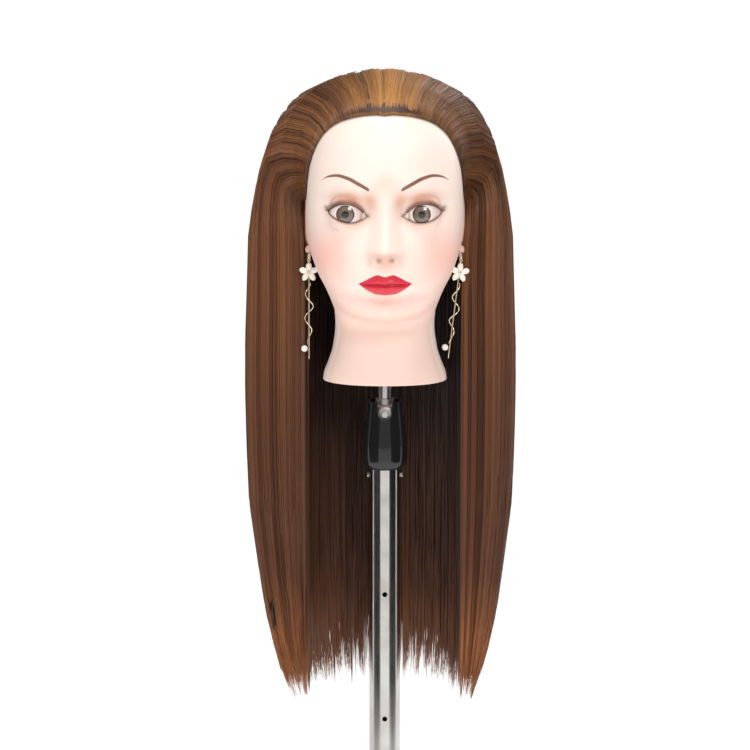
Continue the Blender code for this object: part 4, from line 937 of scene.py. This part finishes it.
def build_hair_bed():
    """The solid mass under the strands, so that nothing shows through them."""
    columns = 360
    u = np.linspace(-1, 1, columns)
    ridge = np.sin(np.arange(columns) * 2.1) + 0.6 * np.sin(np.arange(columns) * 0.83)
    end = -206 - 40 * np.random.default_rng(9).random(columns)
    row = np.zeros(columns)
    outer = strand_paths(u, row, end, 3.2 + 0.5 * ridge, 20, 16)
    inner = strand_paths(u, row, end + 6, np.full(columns, 8.5), 20, 16)
    bm = bmesh.new()
    grids = []
    for paths in (outer, inner):
        grids.append([[bm.verts.new(point) for point in path] for path in paths * MM + np.array(NECK)])
    first, second = grids
    rows = len(first[0])
    for i in range(columns - 1):
        for j in range(rows - 1):
            bm.faces.new((first[i][j], first[i][j + 1], first[i + 1][j + 1], first[i + 1][j]))
            bm.faces.new((second[i][j], second[i + 1][j], second[i + 1][j + 1], second[i][j + 1]))
    for i in range(columns - 1):
        bm.faces.new((first[i][0], first[i + 1][0], second[i + 1][0], second[i][0]))
        bm.faces.new((first[i][-1], second[i][-1], second[i + 1][-1], first[i + 1][-1]))
    for j in range(rows - 1):
        bm.faces.new((first[0][j], second[0][j], second[0][j + 1], first[0][j + 1]))
        bm.faces.new((first[-1][j], first[-1][j + 1], second[-1][j + 1], second[-1][j]))
    bmesh.ops.recalc_face_normals(bm, faces=bm.faces)
    obj = new_piece("hair_bed", bm, material("hair"))
    z = joined_points(obj)[:, 2] - NECK.z
    store(obj.data, "tone", np.full(len(z), 0.3))
    # The bed carries no painted highlight.
    store(obj.data, "painted_highlight", 0 * z)
    store(obj.data, "tip", 0 * z)
    # Painted shade on the bed, darker towards the bottom.
    store(obj.data, "depth", 0.55 + 0.35 * ease((0.1 - z) / 0.2))
    return obj


CAMERA_FALL = radians(8)
VIEW_WIDTH = 0.6525  # metres across the view at the face
SENSOR = 36
BACKDROP_STRENGTH = 1.05
FLOOR_GLOW = 0.62


def set_stage(settings):
    """A pale studio with four soft lights, two dark cards for the metal to mirror and the camera."""
    scene = bpy.context.scene
    scene.view_settings.view_transform = "Standard"
    scene.view_settings.look = "None"
    scene.view_settings.exposure = 0.0
    world = bpy.data.worlds.new("pale_studio")
    world.use_nodes = True
    tree = world.node_tree
    tree.nodes["Background"].inputs["Color"].default_value = (1, 1, 1, 1)
    seen = tree.nodes.new("ShaderNodeLightPath")
    strength = tree.nodes.new("ShaderNodeMapRange")
    strength.inputs["To Min"].default_value = settings.surround
    strength.inputs["To Max"].default_value = BACKDROP_STRENGTH
    tree.links.new(seen.outputs["Is Camera Ray"], strength.inputs["Value"])
    tree.links.new(strength.outputs["Result"], tree.nodes["Background"].inputs["Strength"])
    scene.world = world
    bm = bmesh.new()
    bmesh.ops.create_grid(bm, x_segments=1, y_segments=1, size=8.0)
    nodes = Nodes("pale_floor", 0.85, Specular_IOR_Level=0.1)
    nodes.colour(nodes.mix(nodes.noise(3.0), (0.96, 0.96, 0.96), (0.93, 0.93, 0.93)))
    nodes.shader.inputs["Emission Color"].default_value = (1, 1, 1, 1)
    nodes.shader.inputs["Emission Strength"].default_value = FLOOR_GLOW
    floor = new_piece("floor", bm, nodes.material)
    floor.location.z = -0.0005
    lights = (
        ("key", (0.45, -1.7, NECK.z + 1.05), 0.7, 15.0),
        ("fill", (-1.5, -1.0, NECK.z + 0.20), 1.0, 5.0),
        ("top", (0.0, -0.15, NECK.z + 1.35), 0.6, 8.0),
        ("rim", (0.9, 1.3, NECK.z + 0.7), 0.8, 7.0),
    )
    for name, place, size, power in lights:
        light = bpy.data.lights.new(name, "AREA")
        light.size, light.energy = size, power
        obj = linked(name, light)
        obj.location = place
        aim = Vector((0, PIN.y, NECK.z + 0.10)) - Vector(place)
        obj.rotation_euler = aim.to_track_quat("-Z", "Y").to_euler()
    for side in (-1, 1):
        bm = bmesh.new()
        bmesh.ops.create_grid(bm, x_segments=1, y_segments=1, size=0.9)
        dark = Nodes("dark_card", 1.0)
        dark.shader.inputs["Base Color"].default_value = (0, 0, 0, 1)
        card = new_piece("dark_card_" + ("right" if side < 0 else "left"), bm, dark.material)
        card.location = (side * 1.5, -0.75, 0.75)
        card.rotation_euler = (pi / 2, 0, side * radians(62))
        card.visible_camera = card.visible_shadow = card.visible_diffuse = False
    camera = linked("camera", bpy.data.cameras.new("camera"))
    camera.data.lens = SENSOR * settings.distance / VIEW_WIDTH
    camera.data.sensor_width = SENSOR
    aim_at = Vector((-0.009, NECK.y - 0.095, NECK.z + 0.0165))
    camera.location = aim_at + Vector((0, -1, tan(CAMERA_FALL))) * settings.distance
    aim = aim_at - camera.location
    camera.rotation_euler = aim.to_track_quat("-Z", "Y").to_euler()
    scene.camera = camera


# Earrings


def joined_shapes(name, shapes, look):
    """One piece from several bmeshes, each closed on its own."""
    whole = bmesh.new()
    for bm in shapes:
        mesh = bpy.data.meshes.new("shape")
        bm.to_mesh(mesh)
        bm.free()
        whole.from_mesh(mesh)
        bpy.data.meshes.remove(mesh)
    return new_piece(name, whole, material(look), 50)


def ball(radii, centre, turn=None, segments=28):
    bm = bmesh.new()
    bmesh.ops.create_uvsphere(bm, u_segments=segments, v_segments=segments // 2 + 4, radius=1.0)
    return moved(bm, centre, (turn or Matrix.Identity(4)) @ Matrix.Diagonal((*radii, 1)))


def ring(radius, wire, centre, turn):
    """A closed torus."""
    bm = bmesh.new()
    around = 16
    turns = np.arange(around) * 2 * pi / around
    rim = [bm.verts.new((radius + wire * cos(a), 0, wire * sin(a))) for a in turns]
    edges = [bm.edges.new((rim[i], rim[(i + 1) % around])) for i in range(around)]
    spun(bm, rim + edges, 40, 1e-7)
    bmesh.ops.recalc_face_normals(bm, faces=bm.faces)
    return moved(bm, centre, turn)


def middle_of(node):
    low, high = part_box(node)
    return (low + high) / 2


EARRING_LEAN = {"right": 0.0, "left": radians(7)}
PETALS = 5
PETAL_REACH = 0.0049


def build_earrings():
    """A stud on each ear, and a chain of flower, bar, twisted wire and pearl that swings under it."""
    for word in ("right", "left"):
        body = "earring_" + word
        lean = Matrix.Rotation(EARRING_LEAN[word], 4, "Y")
        across = Matrix.Rotation(radians(90), 4, "X")
        stud = middle_of("stud_" + word)
        low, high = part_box("stud_" + word)
        size = (high.x - low.x) / 2
        gem = ball((size, (high.y - low.y) / 2, (high.z - low.z) / 2), stud, segments=20)
        obj = joined_shapes("crystal_stud_" + word, [gem], "silver")
        place_on(obj, "head", "gold", "stud_" + word)

        link = middle_of("link_" + word)
        low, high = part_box("link_" + word)
        reach = (high.z - low.z) / 2
        wire = 0.0005
        loops = [
            ring(reach * 0.5 - wire, wire, link + lean @ Vector((0, 0, reach * 0.48)), lean @ across),
            ring(reach * 0.5 - wire, wire, link - lean @ Vector((0, 0, reach * 0.48)), lean),
        ]
        place_on(joined_shapes("small_links_" + word, loops, "gold"), body, "gold", "link_" + word)

        flower = middle_of("flower_" + word)
        rim = Matrix.Diagonal((0.72, 1.0, 1.12, 1))
        petals = []
        heart = [ball((0.0016, 0.0014, 0.0016), flower + Vector((0, -0.0006, 0)), segments=20)]
        for number in range(PETALS):
            turn = lean @ Matrix.Rotation(2 * pi / PETALS * number, 4, "Y")
            place = flower + turn @ Vector((0, 0, PETAL_REACH))
            petals.append(ball((0.0024, 0.0010, 0.0037), place, turn))
            heart.append(ring(0.0035, 0.00032, place, turn @ rim @ across))
        place_on(joined_shapes("petals_" + word, petals, "enamel"), body, "enamel", "flower_" + word)
        place_on(joined_shapes("flower_setting_" + word, heart, "gold"), body, "gold")

        low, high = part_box("drop_bar_" + word)
        top = (lean @ Vector((0, 0, 1))).normalized()
        centre = (low + high) / 2
        half = top * ((high.z - low.z) / 2 - 0.0004) / top.z
        share = np.linspace(-1, 1, 24)
        points = np.array([centre + half * s for s in share])
        radii = 0.0006 * np.clip((1.03 - np.abs(share)) * 12, 0.4, 1)
        obj = tube_piece("long_bar_" + word, [(points, radii)], 12, "gold")
        place_on(obj, body, "gold", "drop_bar_" + word)

        low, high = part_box("vine_" + word)
        height = high.z - low.z
        hand = 1 if word == "right" else -1
        points, radii = [], []
        for s in np.linspace(0, 1, 90):
            angle = hand * s * 5 * pi + 0.4
            swell = 0.0040 * (0.35 + 0.65 * sin(pi * min(1, s * 1.15)) ** 0.8)
            along = (0.5 - s) * (height - 0.0012) / top.z
            place = Vector((cos(angle) * swell, sin(angle) * swell * 0.7, along))
            points.append((low + high) / 2 + lean @ place)
            radii.append(0.00055 * min(1, 0.5 + 8 * s, 0.5 + 8 * (1 - s)))
        obj = tube_piece("twisted_wire_" + word, [(np.array(points), np.array(radii))], 10, "gold")
        place_on(obj, body, "gold", "vine_" + word)

        pearl = middle_of("pearl_" + word)
        low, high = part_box("pearl_" + word)
        radius = (high.y - low.y) / 2
        bead = ball((radius, radius, radius), pearl, segments=40)
        obj = joined_shapes("drop_pearl_" + word, [bead], "pearl")
        place_on(obj, body, "pearl", "pearl_" + word)


# Holder and tripod

CREASE = 38  # degrees at which a CAD edge counts as sharp
LOOKS = {
    "chrome_tube": "chrome", "black_moulded": "moulded", "steel": "steel", "die_casting": "casting",
    "black_gloss": "gloss", "vinyl_skin": "plain_skin", "brass_pad": "brass", "black_paint": "paint",
    "rubber_foot": "rubber",
}  # fmt: skip


def finished_copy(node, edge):
    """The CAD node with its flat faces joined up and its edges rounded."""
    bm = bmesh.new()
    bm.from_mesh(frame["nodes"][node].data)
    bmesh.ops.remove_doubles(bm, verts=bm.verts, dist=2e-6)
    bmesh.ops.dissolve_limit(bm, angle_limit=radians(0.6), verts=bm.verts, edges=bm.edges)
    sharp = [e for e in bm.edges if e.is_manifold and e.calc_face_angle(0) > radians(CREASE)]
    bmesh.ops.bevel(
        bm, geom=sharp, offset=edge, offset_type="OFFSET", affect="EDGES", segments=2, profile=0.5,
        material=-1, clamp_overlap=True,
    )  # fmt: skip
    bmesh.ops.recalc_face_normals(bm, faces=bm.faces)
    return bm


def build_stand(edge):
    """Every part of the holder, the column and the tripod, with rounded edges and its own finish."""
    bodies = frame["record"]["behaviour"]["bodies"]
    slots = {part["node"]: part["material_slot"] for part in frame["record"]["subparts"]}
    for body, nodes in bodies.items():
        for node in nodes:
            if slots[node] not in LOOKS or frame["nodes"][node].hide_render:
                continue
            obj = new_piece(node + "_finish", finished_copy(node, edge), material(LOOKS[slots[node]]), 50)
            obj.modifiers.new("even_normals", "WEIGHTED_NORMAL").keep_sharp = True
            place_on(obj, body, slots[node], node)
            if node == "sleeve_spring":
                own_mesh(obj)


# Settings, commands and the panel


class HairSettings(bpy.types.PropertyGroup):
    outer: bpy.props.IntProperty(
        name="Outer strands", description="Strands on the outside", default=4400, min=500
    )
    under: bpy.props.IntProperty(
        name="Under strands", description="Strands just below the outside", default=2600, min=300
    )
    inner: bpy.props.IntProperty(
        name="Inner strands", description="Strands that face the neck", default=2200, min=300
    )
    gather: bpy.props.FloatProperty(
        name="Gathering", description="How far the tips draw together into locks", default=0.55, min=0, max=1
    )


class StandSettings(bpy.types.PropertyGroup):
    edge: bpy.props.FloatProperty(
        name="Edge rounding", description="Radius along sharp edges", default=0.00035, min=0, unit="LENGTH"
    )


class StageSettings(bpy.types.PropertyGroup):
    surround: bpy.props.FloatProperty(
        name="Surround", description="Strength of the light from all round", default=0.46, min=0
    )
    distance: bpy.props.FloatProperty(
        name="Camera distance", description="From the camera to the face", default=2.4, min=0.5, unit="LENGTH"
    )


class PracticeHeadSettings(bpy.types.PropertyGroup):
    hair: bpy.props.PointerProperty(type=HairSettings)
    stand: bpy.props.PointerProperty(type=StandSettings)
    stage: bpy.props.PointerProperty(type=StageSettings)


class PRACTICEHEAD_OT_head(bpy.types.Operator):
    """Sculpts and paints the head"""

    bl_idname = "practice_head.head"
    bl_label = "Head"

    def execute(self, context):
        build_head()
        build_lid_rims()
        return {"FINISHED"}


class PRACTICEHEAD_OT_eyes(bpy.types.Operator):
    """Sets the eyes behind their lids"""

    bl_idname = "practice_head.eyes"
    bl_label = "Eyes"

    def execute(self, context):
        build_eyes()
        return {"FINISHED"}


class PRACTICEHEAD_OT_ears(bpy.types.Operator):
    """Adds the ears and their lobes"""

    bl_idname = "practice_head.ears"
    bl_label = "Ears"

    def execute(self, context):
        build_ears()
        return {"FINISHED"}


class PRACTICEHEAD_OT_hair(bpy.types.Operator):
    """Combs the hair back from the hairline and lets it hang"""

    bl_idname = "practice_head.hair"
    bl_label = "Hair"

    def execute(self, context):
        build_hair(context.scene.practice_head.hair)
        return {"FINISHED"}


class PRACTICEHEAD_OT_earrings(bpy.types.Operator):
    """Builds both drop earrings"""

    bl_idname = "practice_head.earrings"
    bl_label = "Earrings"

    def execute(self, context):
        build_earrings()
        return {"FINISHED"}


class PRACTICEHEAD_OT_stand(bpy.types.Operator):
    """Finishes the tilting holder, the column and the tripod"""

    bl_idname = "practice_head.stand"
    bl_label = "Stand"

    def execute(self, context):
        build_stand(context.scene.practice_head.stand.edge)
        return {"FINISHED"}


class PRACTICEHEAD_OT_stage(bpy.types.Operator):
    """Adds the floor, the lights and the camera"""

    bl_idname = "practice_head.stage"
    bl_label = "Stage"

    def execute(self, context):
        set_stage(context.scene.practice_head.stage)
        return {"FINISHED"}


OPERATORS = (
    PRACTICEHEAD_OT_head,
    PRACTICEHEAD_OT_eyes,
    PRACTICEHEAD_OT_ears,
    PRACTICEHEAD_OT_hair,
    PRACTICEHEAD_OT_earrings,
    PRACTICEHEAD_OT_stand,
    PRACTICEHEAD_OT_stage,
)


class PRACTICEHEAD_PT_panel(bpy.types.Panel):
    bl_label = "Practice head"
    bl_space_type = "VIEW_3D"
    bl_region_type = "UI"
    bl_category = "Practice head"

    def draw(self, context):
        settings = context.scene.practice_head
        for group, names in (
            (settings.hair, ("outer", "under", "inner", "gather")),
            (settings.stand, ("edge",)),
            (settings.stage, ("surround", "distance")),
        ):
            box = self.layout.box()
            for name in names:
                box.prop(group, name)
        for operator in OPERATORS:
            self.layout.operator(operator.bl_idname)


SETTINGS = (HairSettings, StandSettings, StageSettings, PracticeHeadSettings)
CLASSES = (*SETTINGS, *OPERATORS, PRACTICEHEAD_PT_panel)


def register():
    for cls in CLASSES:
        bpy.utils.register_class(cls)
    bpy.types.Scene.practice_head = bpy.props.PointerProperty(type=PracticeHeadSettings)


def unregister():
    del bpy.types.Scene.practice_head
    for cls in reversed(CLASSES):
        bpy.utils.unregister_class(cls)


def main():
    register()
    for operator in OPERATORS:
        group, name = operator.bl_idname.split(".")
        if getattr(getattr(bpy.ops, group), name)() != {"FINISHED"}:
            raise RuntimeError(f"{operator.bl_label} wasn't built")


if __name__ == "__main__":
    main()
